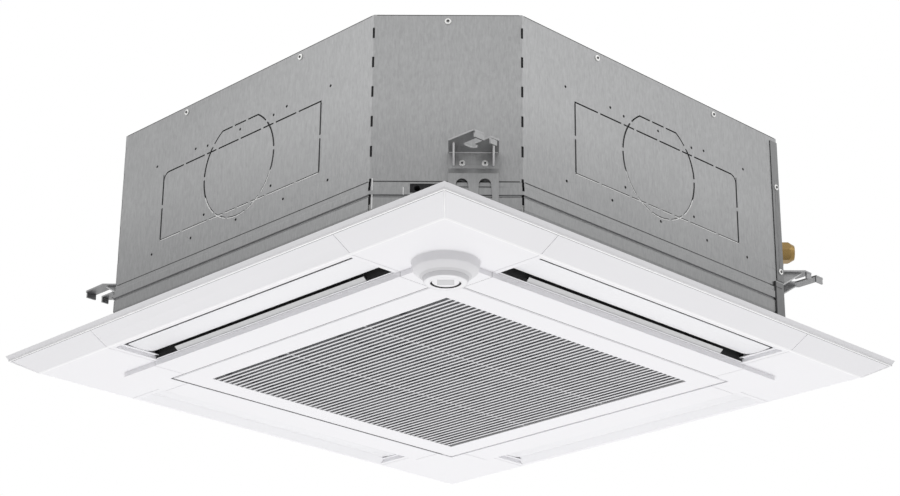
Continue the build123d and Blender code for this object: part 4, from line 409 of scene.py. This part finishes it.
# finishes of the small forms that scene.py adds: the light ones are painted highlights, the grey and dark
# ones painted shade
EDGE_HIGHLIGHT = moulded("edge_highlight_moulding", (0.97, 0.965, 0.985), 0.3)
GROOVE_SHADE = moulded("groove_moulding", (0.42, 0.42, 0.43), 0.7, spread=0.1)
GAP_SHADE = moulded("seal_moulding", (0.14, 0.14, 0.145), 0.7, spread=0.1)
STRIP_SHADE = moulded("strip_moulding", (0.68, 0.68, 0.69), 0.5)
COLLAR_PAINTED_SHADE = moulded("collar_painted_shade_moulding", WHITE, 0.4, share=collar_painted_shade)
STEEL_SHADE = moulded("steel_shade_moulding", (0.035, 0.036, 0.037), 0.7, spread=0.2)
STEEL_HIGHLIGHT = moulded("steel_highlight_moulding", (0.9, 0.9, 0.9), 0.35, spread=0.06)


def dress_nodes():
    """Gives every CAD node its own finish, or the finish of its slot in the record."""
    for row in SUBPARTS:
        for place in NODES[row["node"]].material_slots:
            place.material = OWN_FINISHES.get(row["node"], FINISHES[row["material_slot"]])


# ---------------------------------------------------------------- mesh helpers
BOTH_ENDS = ("first", "last")
BAR_TIP = 0.45              # radius at a bar's tips, as a share of its own
BAR_DOME = 0.6              # length of its domed ends, in radii


def add_form(name, part, finish, smooth=False, body="housing"):
    """New mesh in world coordinates, from its vertices and faces, that rides on a body."""
    verts, faces = part
    mesh = bpy.data.meshes.new(name)
    mesh.from_pydata(verts, [], faces)
    mesh.materials.append(finish)
    for face in mesh.polygons:
        face.use_smooth = smooth
    piece = bpy.data.objects.new(name, mesh)
    bpy.context.scene.collection.objects.link(piece)
    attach(piece, body)
    return piece


def joined(parts):
    """One vertex list and one face list out of several."""
    verts, faces = [], []
    for more_verts, more_faces in parts:
        start = len(verts)
        verts += more_verts
        faces += [tuple(start + i for i in face) for face in more_faces]
    return verts, faces


def skin(sections, ring=False, loop=True, ends=()):
    """Faces through sections with equally many points. A ring goes back to its first section, a loop
    closes each section, and ends names the flat ends to close."""
    count = len(sections[0])
    verts = [tuple(point) for section in sections for point in section]
    faces = []
    for i in range(len(sections) if ring else len(sections) - 1):
        here, there = i * count, (i + 1) % len(sections) * count
        for j in range(count if loop else count - 1):
            k = (j + 1) % count
            faces.append((here + j, here + k, there + k, there + j))
    if "first" in ends:
        faces.append(tuple(reversed(range(count))))
    if "last" in ends:
        faces.append(tuple(range(len(verts) - count, len(verts))))
    return verts, faces


def turned(part, quarter):
    """The same part turned by quarters about the middle of the unit."""
    verts, faces = part
    turn = Matrix.Rotation(math.pi / 2 * quarter, 3, "Z")
    return [tuple(turn @ Vector(vert)) for vert in verts], faces


def on_four_sides(part):
    """The part of the front side, and the same on the other three sides."""
    return joined([turned(part, quarter) for quarter in range(4)])


def circle(radius, sides):
    turns = [2 * math.pi * i / sides for i in range(sides)]
    return [(radius * math.cos(turn), radius * math.sin(turn)) for turn in turns]


def block(x, y, z):
    """Six-sided block between two values on each axis."""
    outline = [(x[0], y[0]), (x[1], y[0]), (x[1], y[1]), (x[0], y[1])]
    return skin([[(*point, height) for point in outline] for height in z], ends=BOTH_ENDS)


def bar(start, end, radius, sides=8):
    """Round bar between two points, with domed ends."""
    start, end = Vector(start), Vector(end)
    along = (end - start).normalized()
    side = along.orthogonal().normalized()
    up = along.cross(side)
    dome = along * radius * BAR_DOME
    sections = []
    for centre, share in ((start, BAR_TIP), (start + dome, 1.0), (end - dome, 1.0), (end, BAR_TIP)):
        sections.append([centre + side * a + up * b for a, b in circle(radius * share, sides)])
    return skin(sections, ends=BOTH_ENDS)


def square_ring(half, z, profile):
    """Closed square ring with mitred corners; the profile holds (out, up) offsets."""
    clockwise = ((1, -1), (-1, -1), (-1, 1), (1, 1))
    sections = [[((half + out) * sx, (half + out) * sy, z + up) for out, up in profile]
                for sx, sy in clockwise]
    return skin(sections, ring=True)


def round_edges(piece, width, angle):
    """Bevel on the edges that turn by more than angle degrees."""
    edge = piece.modifiers.new("edge", "BEVEL")
    edge.width = width
    edge.segments = 2
    edge.limit_method = "ANGLE"
    edge.angle_limit = math.radians(angle)
    return edge


# ---------------------------------------------------------------- small forms on the panel
# A profile's points are offsets from the line that it follows, out and up. A section's points are
# distances from the middle plane and rises above the corner flats.
RIM_FOOT = (PANEL_HALF - 0.004, -0.007)         # half width and height where the sloped border starts
FLAT_EDGE = (PANEL_HALF - 0.038, FLAT_Z)        # and where it ends at the flats
RIM_BEAD_SHIFT = (-0.0009, -0.0002)
RIM_BEAD_RADIUS = 0.0016
RIM_BEAD_SIDES = 10
RIDGE_RADIUS = 0.0011                           # beads on the border's four mitres
RIDGE_RISE = 0.0004
FLAT_STRIP_PROFILE = ((-0.0020, 0.0002), (-0.0020, -0.00008), (0.00004, -0.00008),
                      (0.0018, 0.0010), (0.0016, 0.0012))
GROOVE_DOWN = 0.0028                            # strip of painted shade for the groove in the border, along the slope from the rim's foot
GROOVE_PROFILE = ((-0.0005, -0.0004), (-0.0005, 0.0001), (0.0005, 0.0001), (0.0005, -0.0004))

LIP_HALF_LENGTH = 0.2552                        # white lips along the inner walls of the air outlets
LIP_WALL = 0.3531
LIP_DEPTH = 0.0026
LIP_HEIGHTS = (FLAT_Z + 0.0009, FLAT_Z + 0.0003)         # upper and lower
LIP_END_STEPS = 6
LIP_ROUNDING = 0.00017
LIP_ROUNDED_ANGLE = 40
STRIP_HALF_LENGTH = 0.2045                      # sloped strips behind the lips
STRIP_SECTION = ((0.3545, 0.0008), (0.3606, 0.0063), (0.3600, 0.0069), (0.3540, 0.0014))
FLARE_HALF_LENGTH = 0.2555                      # and along the outlets' outer edges
FLARE_SECTION = ((0.4280, 0.0004), (0.4145, 0.0088), (0.4145, 0.0095), (0.4285, 0.0009))
SHELF_X = (0.2498, 0.2561)                      # white shelves at the outlets' ends
SHELF_Y = (-0.4228, -0.3532)
SHELF_Z = (FLAT_Z + 0.0055, FLAT_Z + 0.0064)
SHELF_ENDS = ((-1,), (1,), (-1, 1), (-1, 1))    # by outlet: none beside the sensor

EDGE_SHADE_HALF_LENGTH = 0.2488                       # painted shade of the gaps at the vanes' outer edges
EDGE_SHADE_FACES = (-VANE_EDGE - 0.0003, -VANE_EDGE + 0.0001)
EDGE_SHADE_HEIGHTS = (FLAT_Z + 0.0081, FLAT_Z + 0.0100)

GRILLE_GAP_NEAR = GRILLE_HALF + 0.0010
GRILLE_GAP_FAR = GRILLE_HALF + 0.0017
GRILLE_GAP_END = 0.2750                         # the strips stop here, before the hinge side
GRILLE_GAP_HEIGHTS = (FACE_Z + 0.0003, FACE_Z + 0.0009)
COVER_SEAM = (COVER_EDGE - 0.00075, COVER_EDGE - 0.00005)       # beside the sensor's corner cover
COVER_SEAM_RUNS = (             # along the seam, and its heights: on the face, and up the step to the flat
    ((0.2975, 0.3498), (FACE_Z + 0.0002, FACE_Z + 0.0009)),
    ((0.3490, 0.3498), (FACE_Z + 0.0002, FLAT_Z - 0.0002)),
)


def rim_edges():
    """Bead along the rim's foot and on the mitres, lighter than the moulding as a painted highlight; a flush
    strip of painted highlight on the flat's edge; and a strip of painted shade for the fine groove.
    """
    half, z = RIM_FOOT
    out, up = RIM_BEAD_SHIFT
    beads = [square_ring(half + out, z + up, circle(RIM_BEAD_RADIUS, RIM_BEAD_SIDES))]
    low_half, low_z = FLAT_EDGE
    for sx, sy in CORNERS:
        low = (sx * low_half, sy * low_half, low_z + RIDGE_RISE)
        beads.append(bar((sx * half, sy * half, z), low, RIDGE_RADIUS))
    add_form("rim_beads", joined(beads), EDGE_HIGHLIGHT, smooth=True)
    add_form("flat_edge_highlight", square_ring(low_half, low_z, FLAT_STRIP_PROFILE), EDGE_HIGHLIGHT)
    slope = (Vector(FLAT_EDGE) - Vector(RIM_FOOT)).normalized()
    normal = Vector((-slope.y, slope.x))
    middle = Vector(RIM_FOOT) + slope * GROOVE_DOWN
    profile = [middle + slope * down + normal * proud for down, proud in GROOVE_PROFILE]
    add_form("rim_groove_shade", square_ring(0.0, 0.0, profile), GROOVE_SHADE)


def outlet_lips():
    """White lip with rounded ends along the inner wall of each air outlet."""
    turns = [math.pi / 2 * i / LIP_END_STEPS for i in range(LIP_END_STEPS + 1)]
    end = [(LIP_HALF_LENGTH - LIP_DEPTH * (1 - math.cos(turn)), -LIP_WALL - LIP_DEPTH * math.sin(turn))
           for turn in turns]
    outline = end + [(-x, y) for x, y in reversed(end)]
    lip = skin([[(*point, z) for point in outline] for z in LIP_HEIGHTS], ends=BOTH_ENDS)
    piece = add_form("outlet_lips", on_four_sides(lip), FINISHES["white_plastic"])
    round_edges(piece, LIP_ROUNDING, LIP_ROUNDED_ANGLE)


def outlet_strip(half_length, section):
    """Straight strip along the front outlet."""
    return skin([[(x, -out, FLAT_Z + rise) for out, rise in section] for x in (half_length, -half_length)],
                ends=BOTH_ENDS)


def outlet_strips():
    """Sloped strips along both edges of each outlet, and the shelves at its ends."""
    feet = on_four_sides(outlet_strip(STRIP_HALF_LENGTH, STRIP_SECTION))
    flares = on_four_sides(outlet_strip(FLARE_HALF_LENGTH, FLARE_SECTION))
    shelves = []
    for quarter, ends in enumerate(SHELF_ENDS):
        for end in ends:
            shelf = block(sorted(end * x for x in SHELF_X), SHELF_Y, SHELF_Z)
            shelves.append(turned(shelf, quarter))
    add_form("outlet_strips", feet, STRIP_SHADE)
    add_form("outlet_flares", flares, FINISHES["vane_plastic"])
    add_form("outlet_shelves", joined(shelves), FINISHES["vane_plastic"])


def vane_edge_shades():
    """Strip of painted shade for the gap along the outer edge of each vane, riding on the vane."""
    seal = block((-EDGE_SHADE_HALF_LENGTH, EDGE_SHADE_HALF_LENGTH), EDGE_SHADE_FACES, EDGE_SHADE_HEIGHTS)
    for quarter, side in enumerate(("front", "right", "back", "left")):
        add_form("seal_" + side, turned(seal, quarter), GAP_SHADE, body="vane_" + side)


def grille_gap():
    """Shaded strips in the gap round the intake grille, on the three sides away from its hinge."""
    near, far = GRILLE_GAP_NEAR, GRILLE_GAP_FAR
    parts = [block((-far, far), (-far, -near), GRILLE_GAP_HEIGHTS)]
    for x in ((near, far), (-far, -near)):
        parts.append(block(x, (-near, GRILLE_GAP_END), GRILLE_GAP_HEIGHTS))
    add_form("grille_gap", joined(parts), GAP_SHADE)


def cover_seams():
    """Shaded strips in the two gaps beside the sensor's corner cover."""
    near, far = COVER_SEAM
    parts = []
    for (start, end), heights in COVER_SEAM_RUNS:
        parts.append(block((near, far), (-end, -start), heights))
        parts.append(block((start, end), (-far, -near), heights))
    add_form("cover_seams", joined(parts), GAP_SHADE)


# ---------------------------------------------------------------- small forms on the sensor
# A profile's points are radii from the sensor's axis and rises above its ring's face.
SENSOR_SIDES = 64
CUP_SIDES = 48
CUP_LEVELS = ((0.0176, CUP_Z - 0.0003), (0.0179, CUP_Z))         # radius and height
WINDOW_LEVELS = (               # half length, half width and height
    (0.0110, 0.0092, CUP_Z - 0.0002),
    (0.0110, 0.0092, CUP_Z - 0.0005),
    (0.0104, 0.0086, CUP_Z - 0.0008),
)
SLEEVE_PROFILE = ((0.0204, 0.0006), (0.0204, 0.0050), (0.0188, 0.0050))
COLLAR_PROFILE = ((0.0268, 0.0075), (0.0308, 0.0075), (0.0302, 0.0055), (0.0294, 0.0025),
                  (0.0289, 0.0009), (0.0279, 0.0001), (0.0268, 0.00002))
NEAR_LIP_RADIUS = 0.0206        # lip over the near half of the ring's gap
NEAR_LIP_WIDTHS = (0.0002, 0.0022)      # at its ends, and added in its middle
NEAR_LIP_SPAN = 98.0            # degrees either way from the corner's diagonal
NEAR_LIP_TAPER = 34.0           # degrees over which each end narrows
NEAR_LIP_INNER = (RING_Z + 0.0005, RING_Z + 0.0009)     # its heights along the inner edge
NEAR_LIP_OUTER = (RING_Z + 0.0001, RING_Z + 0.0009)     # and along the outer one


def about_sensor(x, y, z):
    return (SENSOR_IN + x, -SENSOR_IN + y, z)


def sensor_ring_part(profile, loop=True):
    """Profile turned about the sensor's axis."""
    sections = [[about_sensor(radius * x, radius * y, RING_Z + rise) for radius, rise in profile]
                for x, y in circle(1.0, SENSOR_SIDES)]
    return skin(sections, ring=True, loop=loop)


def sensor_face():
    """Face of the turning cup, with its window standing across the corner's diagonal."""
    levels = [[about_sensor(x, y, z) for x, y in circle(radius, CUP_SIDES)] for radius, z in CUP_LEVELS]
    add_form("cup_face", skin(levels, ends=("first",)), FINISHES["sensor_cup_plastic"],
             body="sensor_head")
    root = math.sqrt(0.5)
    levels = []
    for half_length, half_width, z in WINDOW_LEVELS:
        corners = ((-1, -1), (1, -1), (1, 1), (-1, 1))
        reaches = [(a * half_length, b * half_width) for a, b in corners]
        levels.append([about_sensor(root * (out + along), root * (along - out), z) for along, out in reaches])
    add_form("sensor_window", skin(levels, ends=("last",)), FINISHES["sensor_window"],
             body="sensor_head")


def sensor_gap():
    """Shaded sleeve in the sensor ring's bore, round the turning cup."""
    sleeve = sensor_ring_part(SLEEVE_PROFILE, loop=False)
    add_form("sensor_gap", sleeve, STEEL_SHADE, smooth=True)


def sensor_collar():
    """Collar between the sensor's dome and its ring, with painted shade on its wall, and the lip over the
    near half of the ring's gap.
    """
    collar = sensor_ring_part(COLLAR_PROFILE)
    add_form("sensor_collar", collar, COLLAR_PAINTED_SHADE, smooth=True)
    narrow, swell = NEAR_LIP_WIDTHS
    inner_low, inner_high = NEAR_LIP_INNER
    outer_low, outer_high = NEAR_LIP_OUTER
    outer = NEAR_LIP_RADIUS
    sections = []
    for i in range(SENSOR_SIDES + 1):
        angle = NEAR_LIP_SPAN * (2 * i / SENSOR_SIDES - 1)
        inner = outer - narrow - swell * min(1.0, (NEAR_LIP_SPAN - abs(angle)) / NEAR_LIP_TAPER)
        turn = math.radians(angle - 45.0)
        profile = ((inner, inner_low), (outer, outer_low), (outer, outer_high), (inner, inner_high))
        sections.append([about_sensor(radius * math.cos(turn), radius * math.sin(turn), z)
                         for radius, z in profile])
    add_form("sensor_lip", skin(sections, ends=BOTH_ENDS), FINISHES["sensor_ring_plastic"])


# ---------------------------------------------------------------- small forms on the casing
# "Out" is the distance off a side or a cut corner, "along" the distance from its middle.
CORNER_CUT = 0.141
CORNER_OUT = round((2 * CASING_HALF - CORNER_CUT) / math.sqrt(2), 5)     # cut corner from the axis
BEND_INSET = 0.004              # the lines stop this far from the bends
LINE_FACES = (-0.0003, 0.00015)         # back and front, off the casing's sides
LINE_HEIGHT = 0.0009
UPPER_BEAD_LINE_Z = 0.0765
LID_LINE_Z = CASING_TOP - 0.0006
PLATE_GAP = ((0.4195, 0.4226), (0.2555, 0.2578), (0.0060, 0.0835))      # beside the lower pipe plate

ROD_PLACE = (0.390, 0.340)      # hanging rods, from both middle planes
HANGER_SHIFT = round((ROD_PLACE[X] - ROD_PLACE[Y]) / math.sqrt(2), 6)    # along the cut corner
GUSSET_SPREAD = 0.026
GUSSET_FOOT = (0.003, HANGER_Z - 0.0195)        # out and height, where the gusset's edge starts
GUSSET_TIP = (0.034, HANGER_Z + 0.0002)         # and where it ends
GUSSET_EDGE_RADIUS = 0.0014
FOLD_HALF = 0.032               # fold between a hanger's apron and its rod plate
FOLD_OUT = 0.0027
FOLD_Z = HANGER_Z - 0.0002
FOLD_RADIUS = 0.0006

SCREW_SIDES = 12
SCREW_SHADE_RADIUS = 0.0020
HEAD_OUTS = (0.0011, 0.00187)   # of the shades in casing screws' heads, on the sheet that they hold
TOP_SCREW_SPREAD = 0.128
TOP_SCREW_Z = 0.311
COVER_PLATE = 0.0012
COVER_SCREW_ALONG = 0.2715
COVER_SCREW_HEIGHTS = (0.238, 0.102)
HANGER_SHADE_RADIUS = 0.0015
HANGER_HEAD_OUTS = (0.0036, 0.00436)
HANGER_SCREW_SPREAD = 0.015
HANGER_SCREW_Z = 0.1014

CUT_OUT = -0.0003               # bars in the knock-outs' cuts
CUT_RADIUS = 0.0009
CUT_BRIDGE = 0.005
CUT_HALF = 0.175
CUT_BRIDGES = (0.0, 0.028, 0.063, 0.126, CUT_HALF + CUT_BRIDGE / 2)      # middles, along the lower cut
CUT_LINE_Z = 0.1201
CUT_SIDE = 0.1758               # side cuts, from the middle
CUT_SIDE_SPANS = ((0.1225, 0.1710), (0.1770, 0.2250))
ARC_CENTRE_Z = 0.186
ARC_RADIUS = 0.0779
BRIGHT_ARCS = ((-90.0, -76.0), (-72.0, -52.0), (-48.0, -22.0))
SHADED_ARCS = ((-20.0, 0.0), (4.0, 37.0))
ARC_STEP = 6.0                  # degrees

BEAD_ENDS = (                   # along, out, lower and upper height, radius
    (-0.0560, 0.0019, 0.0565, 0.0675, 0.0008),
    (-0.0966, 0.0016, 0.0620, 0.0800, 0.0009),
    (-0.0966, 0.0016, 0.0360, 0.0570, 0.0009),
)


def casing_corners(off):
    """Corners of the casing's outline, moved out by off."""
    half = CASING_HALF + off
    near = half - CORNER_CUT - (2 - math.sqrt(2)) * off
    points = [(near, -half), (half, -near), (half, near), (near, half)]
    return points + [(-x, -y) for x, y in points]


def casing_line(z):
    """Fine strip across each side of the casing, a little proud of it."""
    low, high = z - LINE_HEIGHT / 2, z + LINE_HEIGHT / 2
    outlines = [casing_corners(off) for off in LINE_FACES]
    parts = []
    for i in range(len(outlines[0])):
        stretches = []
        for outline in outlines:
            start, end = Vector(outline[i - 1]), Vector(outline[i])
            inset = (end - start).normalized() * BEND_INSET
            stretches.append((end - inset, start + inset))
        sections = [[(*back, low), (*front, low), (*front, high), (*back, high)]
                    for back, front in zip(*stretches)]
        parts.append(skin(sections, loop=False, ends=BOTH_ENDS))
    return joined(parts)


def casing_lines():
    """Shaded lines where the upper bead starts and under the lid."""
    parts = [casing_line(UPPER_BEAD_LINE_Z), casing_line(LID_LINE_Z)]
    add_form("casing_lines", joined(parts), STEEL_SHADE)


def plate_gap():
    """Dark block of painted shade in the gap between the right side's sheet and the lower plate of the pipe
    corner.
    """
    add_form("plate_gap", block(*PLATE_GAP), STEEL_SHADE)


def on_side(side, along, out, z):
    """Point off the front or the right side."""
    return (along, -CASING_HALF - out, z) if side == "front" else (CASING_HALF + out, along, z)


def at_corner(sx, sy, along, out, z):
    """Point off a cut corner, given by the signs of its x and y."""
    root = math.sqrt(0.5)
    return (sx * root * (CORNER_OUT + out + along), sy * root * (CORNER_OUT + out - along), z)


def hanger_edges():
    """Painted highlights on the folded edges of the hanger brackets."""
    parts = []
    for sx, sy in CORNERS:
        for along in (HANGER_SHIFT - GUSSET_SPREAD, HANGER_SHIFT + GUSSET_SPREAD):
            ends = [at_corner(sx, sy, along, *place) for place in (GUSSET_FOOT, GUSSET_TIP)]
            parts.append(bar(*ends, GUSSET_EDGE_RADIUS))
        ends = [at_corner(sx, sy, along, FOLD_OUT, FOLD_Z)
                for along in (HANGER_SHIFT - FOLD_HALF, HANGER_SHIFT + FOLD_HALF)]
        parts.append(bar(*ends, FOLD_RADIUS))
    add_form("hanger_edges", joined(parts), STEEL_HIGHLIGHT, smooth=True)


def screw_recesses():
    """Shaded sockets in the heads of the hanger screws and of the casing screws that show."""
    shades = []
    for side in ("front", "right"):
        for along in (-TOP_SCREW_SPREAD, TOP_SCREW_SPREAD):
            shades.append([on_side(side, along, out, TOP_SCREW_Z) for out in HEAD_OUTS])
    shades.append([at_corner(1, -1, 0.0, out, TOP_SCREW_Z) for out in HEAD_OUTS])
    for z in COVER_SCREW_HEIGHTS:
        shades.append([on_side("right", COVER_SCREW_ALONG, COVER_PLATE + out, z) for out in HEAD_OUTS])
    parts = [bar(*ends, SCREW_SHADE_RADIUS, SCREW_SIDES) for ends in shades]
    for sx, sy in CORNERS:
        for along in (HANGER_SHIFT - HANGER_SCREW_SPREAD, HANGER_SHIFT + HANGER_SCREW_SPREAD):
            ends = [at_corner(sx, sy, along, out, HANGER_SCREW_Z) for out in HANGER_HEAD_OUTS]
            parts.append(bar(*ends, HANGER_SHADE_RADIUS, SCREW_SIDES))
    add_form("screw_recesses", joined(parts), STEEL_SHADE)


def arc_bars(side, way, start, end):
    """Short bars along the round cut, from a start to an end angle in degrees."""
    count = max(1, round((end - start) / ARC_STEP))
    turns = [math.radians(start + (end - start) * i / count) for i in range(count + 1)]
    points = [on_side(side, way * ARC_RADIUS * math.cos(turn), CUT_OUT,
                      ARC_CENTRE_Z + ARC_RADIUS * math.sin(turn)) for turn in turns]
    return [bar(a, b, CUT_RADIUS) for a, b in zip(points, points[1:])]


def knockout_edges():
    """Painted highlights on the lower edges and painted shade on the side edges of the cuts round the
    branch-duct knock-outs.
    """
    bright, shaded = [], []
    for side, way in (("front", -1), ("front", 1), ("right", -1), ("right", 1)):
        for start, end in zip(CUT_BRIDGES, CUT_BRIDGES[1:]):
            reaches = (start + CUT_BRIDGE / 2, end - CUT_BRIDGE / 2)
            ends = [on_side(side, way * reach, CUT_OUT, CUT_LINE_Z) for reach in reaches]
            bright.append(bar(*ends, CUT_RADIUS))
        for span in BRIGHT_ARCS:
            bright += arc_bars(side, way, *span)
        for span in SHADED_ARCS:
            shaded += arc_bars(side, way, *span)
        for span in CUT_SIDE_SPANS:
            ends = [on_side(side, way * CUT_SIDE, CUT_OUT, z) for z in span]
            shaded.append(bar(*ends, CUT_RADIUS))
    add_form("knockout_edges", joined(bright), STEEL_HIGHLIGHT, smooth=True)
    add_form("knockout_shades", joined(shaded), STEEL_SHADE, smooth=True)


def bead_ends():
    """Painted highlights on the ends of the pressed beads on the front right cut corner."""
    parts = []
    for along, out, low, high, radius in BEAD_ENDS:
        parts.append(bar(at_corner(1, -1, along, out, low), at_corner(1, -1, along, out, high), radius))
    add_form("bead_ends", joined(parts), STEEL_HIGHLIGHT, smooth=True)


# ---------------------------------------------------------------- edges of the CAD nodes
SOFT_EDGES = {
    "white_plastic": 0.0005, "vane_plastic": 0.0005, "sensor_ring_plastic": 0.0004,
    "sensor_cup_plastic": 0.0005, "galvanised": 0.00035, "brass": 0.0004, "screw_steel": 0.0002,
}
SOFT_ANGLE = 35
WELD_DISTANCE = 0.00002


def soften_edges():
    """Small rounding on the edges of the visible rigid pieces, as wide as their slot says."""
    for row in SUBPARTS:
        if row["material_slot"] in SOFT_EDGES:
            piece = NODES[row["node"]]
            piece.modifiers.new("join", "WELD").merge_threshold = WELD_DISTANCE
            edge = round_edges(piece, SOFT_EDGES[row["material_slot"]], SOFT_ANGLE)
            edge.harden_normals = True


# ---------------------------------------------------------------- stage, lights, camera
def seen_rays(tree):
    """One for camera, glossy and transmission rays, zero for the light that falls on matt surfaces."""
    rays = tree.nodes.new("ShaderNodeLightPath")
    total = rays.outputs["Is Camera Ray"]
    for kind in ("Is Glossy Ray", "Is Transmission Ray"):
        added = tree.nodes.new("ShaderNodeMath")
        added.operation = "ADD"
        added.use_clamp = True
        tree.links.new(total, added.inputs[0])
        tree.links.new(rays.outputs[kind], added.inputs[1])
        total = added.outputs[0]
    return total


def floor():
    """Pale round floor, whiter to the camera than to the light that it sends back."""
    mesh = bpy.data.meshes.new("floor")
    rim = [(x, y, FLOOR_Z) for x, y in circle(FLOOR_RADIUS, FLOOR_SIDES)]
    mesh.from_pydata(rim, [], [tuple(range(FLOOR_SIDES))])
    piece = bpy.data.objects.new("floor", mesh)
    bpy.context.scene.collection.objects.link(piece)
    material = bpy.data.materials.new("floor_paint")
    tree = empty_tree(material)
    matt = tree.nodes.new("ShaderNodeBsdfDiffuse")
    matt.inputs["Color"].default_value = (*FLOOR_COLOUR, 1.0)
    white = tree.nodes.new("ShaderNodeEmission")
    share = tree.nodes.new("ShaderNodeMath")
    share.operation = "MULTIPLY"
    share.inputs[1].default_value = FLOOR_WHITENING
    tree.links.new(seen_rays(tree), share.inputs[0])
    mixed = tree.nodes.new("ShaderNodeMixShader")
    for socket, source in enumerate((share, matt, white)):
        tree.links.new(source.outputs[0], mixed.inputs[socket])
    output = tree.nodes.new("ShaderNodeOutputMaterial")
    tree.links.new(mixed.outputs[0], output.inputs["Surface"])
    mesh.materials.append(material)


def surroundings():
    """White world, dimmed where it lights matt surfaces."""
    world = bpy.data.worlds.new("studio")
    bpy.context.scene.world = world
    tree = empty_tree(world)
    light = tree.nodes.new("ShaderNodeBackground")
    light.inputs["Color"].default_value = (1.0, 1.0, 1.0, 1.0)
    level = tree.nodes.new("ShaderNodeMapRange")
    level.inputs["To Min"].default_value = WORLD_STRENGTH
    level.inputs["To Max"].default_value = 1.0
    tree.links.new(seen_rays(tree), level.inputs["Value"])
    tree.links.new(level.outputs[0], light.inputs["Strength"])
    output = tree.nodes.new("ShaderNodeOutputWorld")
    tree.links.new(light.outputs[0], output.inputs["Surface"])


def softbox(name, place, target, size, power):
    """Square area lamp, seen in reflections but not by the camera."""
    data = bpy.data.lights.new(name, "AREA")
    data.shape = "SQUARE"
    data.size = size
    data.energy = power
    lamp = bpy.data.objects.new(name, data)
    lamp.location = place
    direction = Vector(target) - Vector(place)
    lamp.rotation_mode = "QUATERNION"
    lamp.rotation_quaternion = direction.to_track_quat("-Z", "Y")
    lamp.visible_camera = False
    bpy.context.scene.collection.objects.link(lamp)


def lights():
    middle = (0.0, 0.0, 0.1)
    softbox("key_below", (-0.4, 0.4, -3.4), middle, size=3.2, power=67.0)
    softbox("high_front", (-0.9, -2.4, 1.6), (0.1, -0.4, 0.3), size=1.4, power=4.0)
    softbox("high_right", (2.4, 0.9, 1.6), (0.4, -0.1, 0.3), size=1.4, power=4.0)
    softbox("top_back", (-2.2, 2.2, 4.0), middle, size=3.0, power=60.0)


def camera():
    """The photograph's viewing angle."""
    data = bpy.data.cameras.new("camera")
    data.lens = CAMERA_LENS
    data.sensor_width = CAMERA_SENSOR
    data.clip_end = CAMERA_REACH
    piece = bpy.data.objects.new("camera", data)
    look = (Vector(CAMERA_TARGET) - Vector(CAMERA_PLACE)).to_track_quat("-Z", "Y").to_matrix().to_4x4()
    roll = Matrix.Rotation(CAMERA_ROLL, 4, "Z")
    piece.matrix_world = Matrix.Translation(CAMERA_PLACE) @ look @ roll
    bpy.context.scene.collection.objects.link(piece)
    bpy.context.scene.camera = piece


# ---------------------------------------------------------------- the scene
camera()
dress_nodes()
rim_edges()
outlet_lips()
outlet_strips()
vane_edge_shades()
grille_gap()
cover_seams()
sensor_face()
sensor_gap()
sensor_collar()
casing_lines()
plate_gap()
hanger_edges()
screw_recesses()
knockout_edges()
bead_ends()
soften_edges()
floor()
surroundings()
lights()
bpy.context.scene.view_settings.view_transform = "Standard"
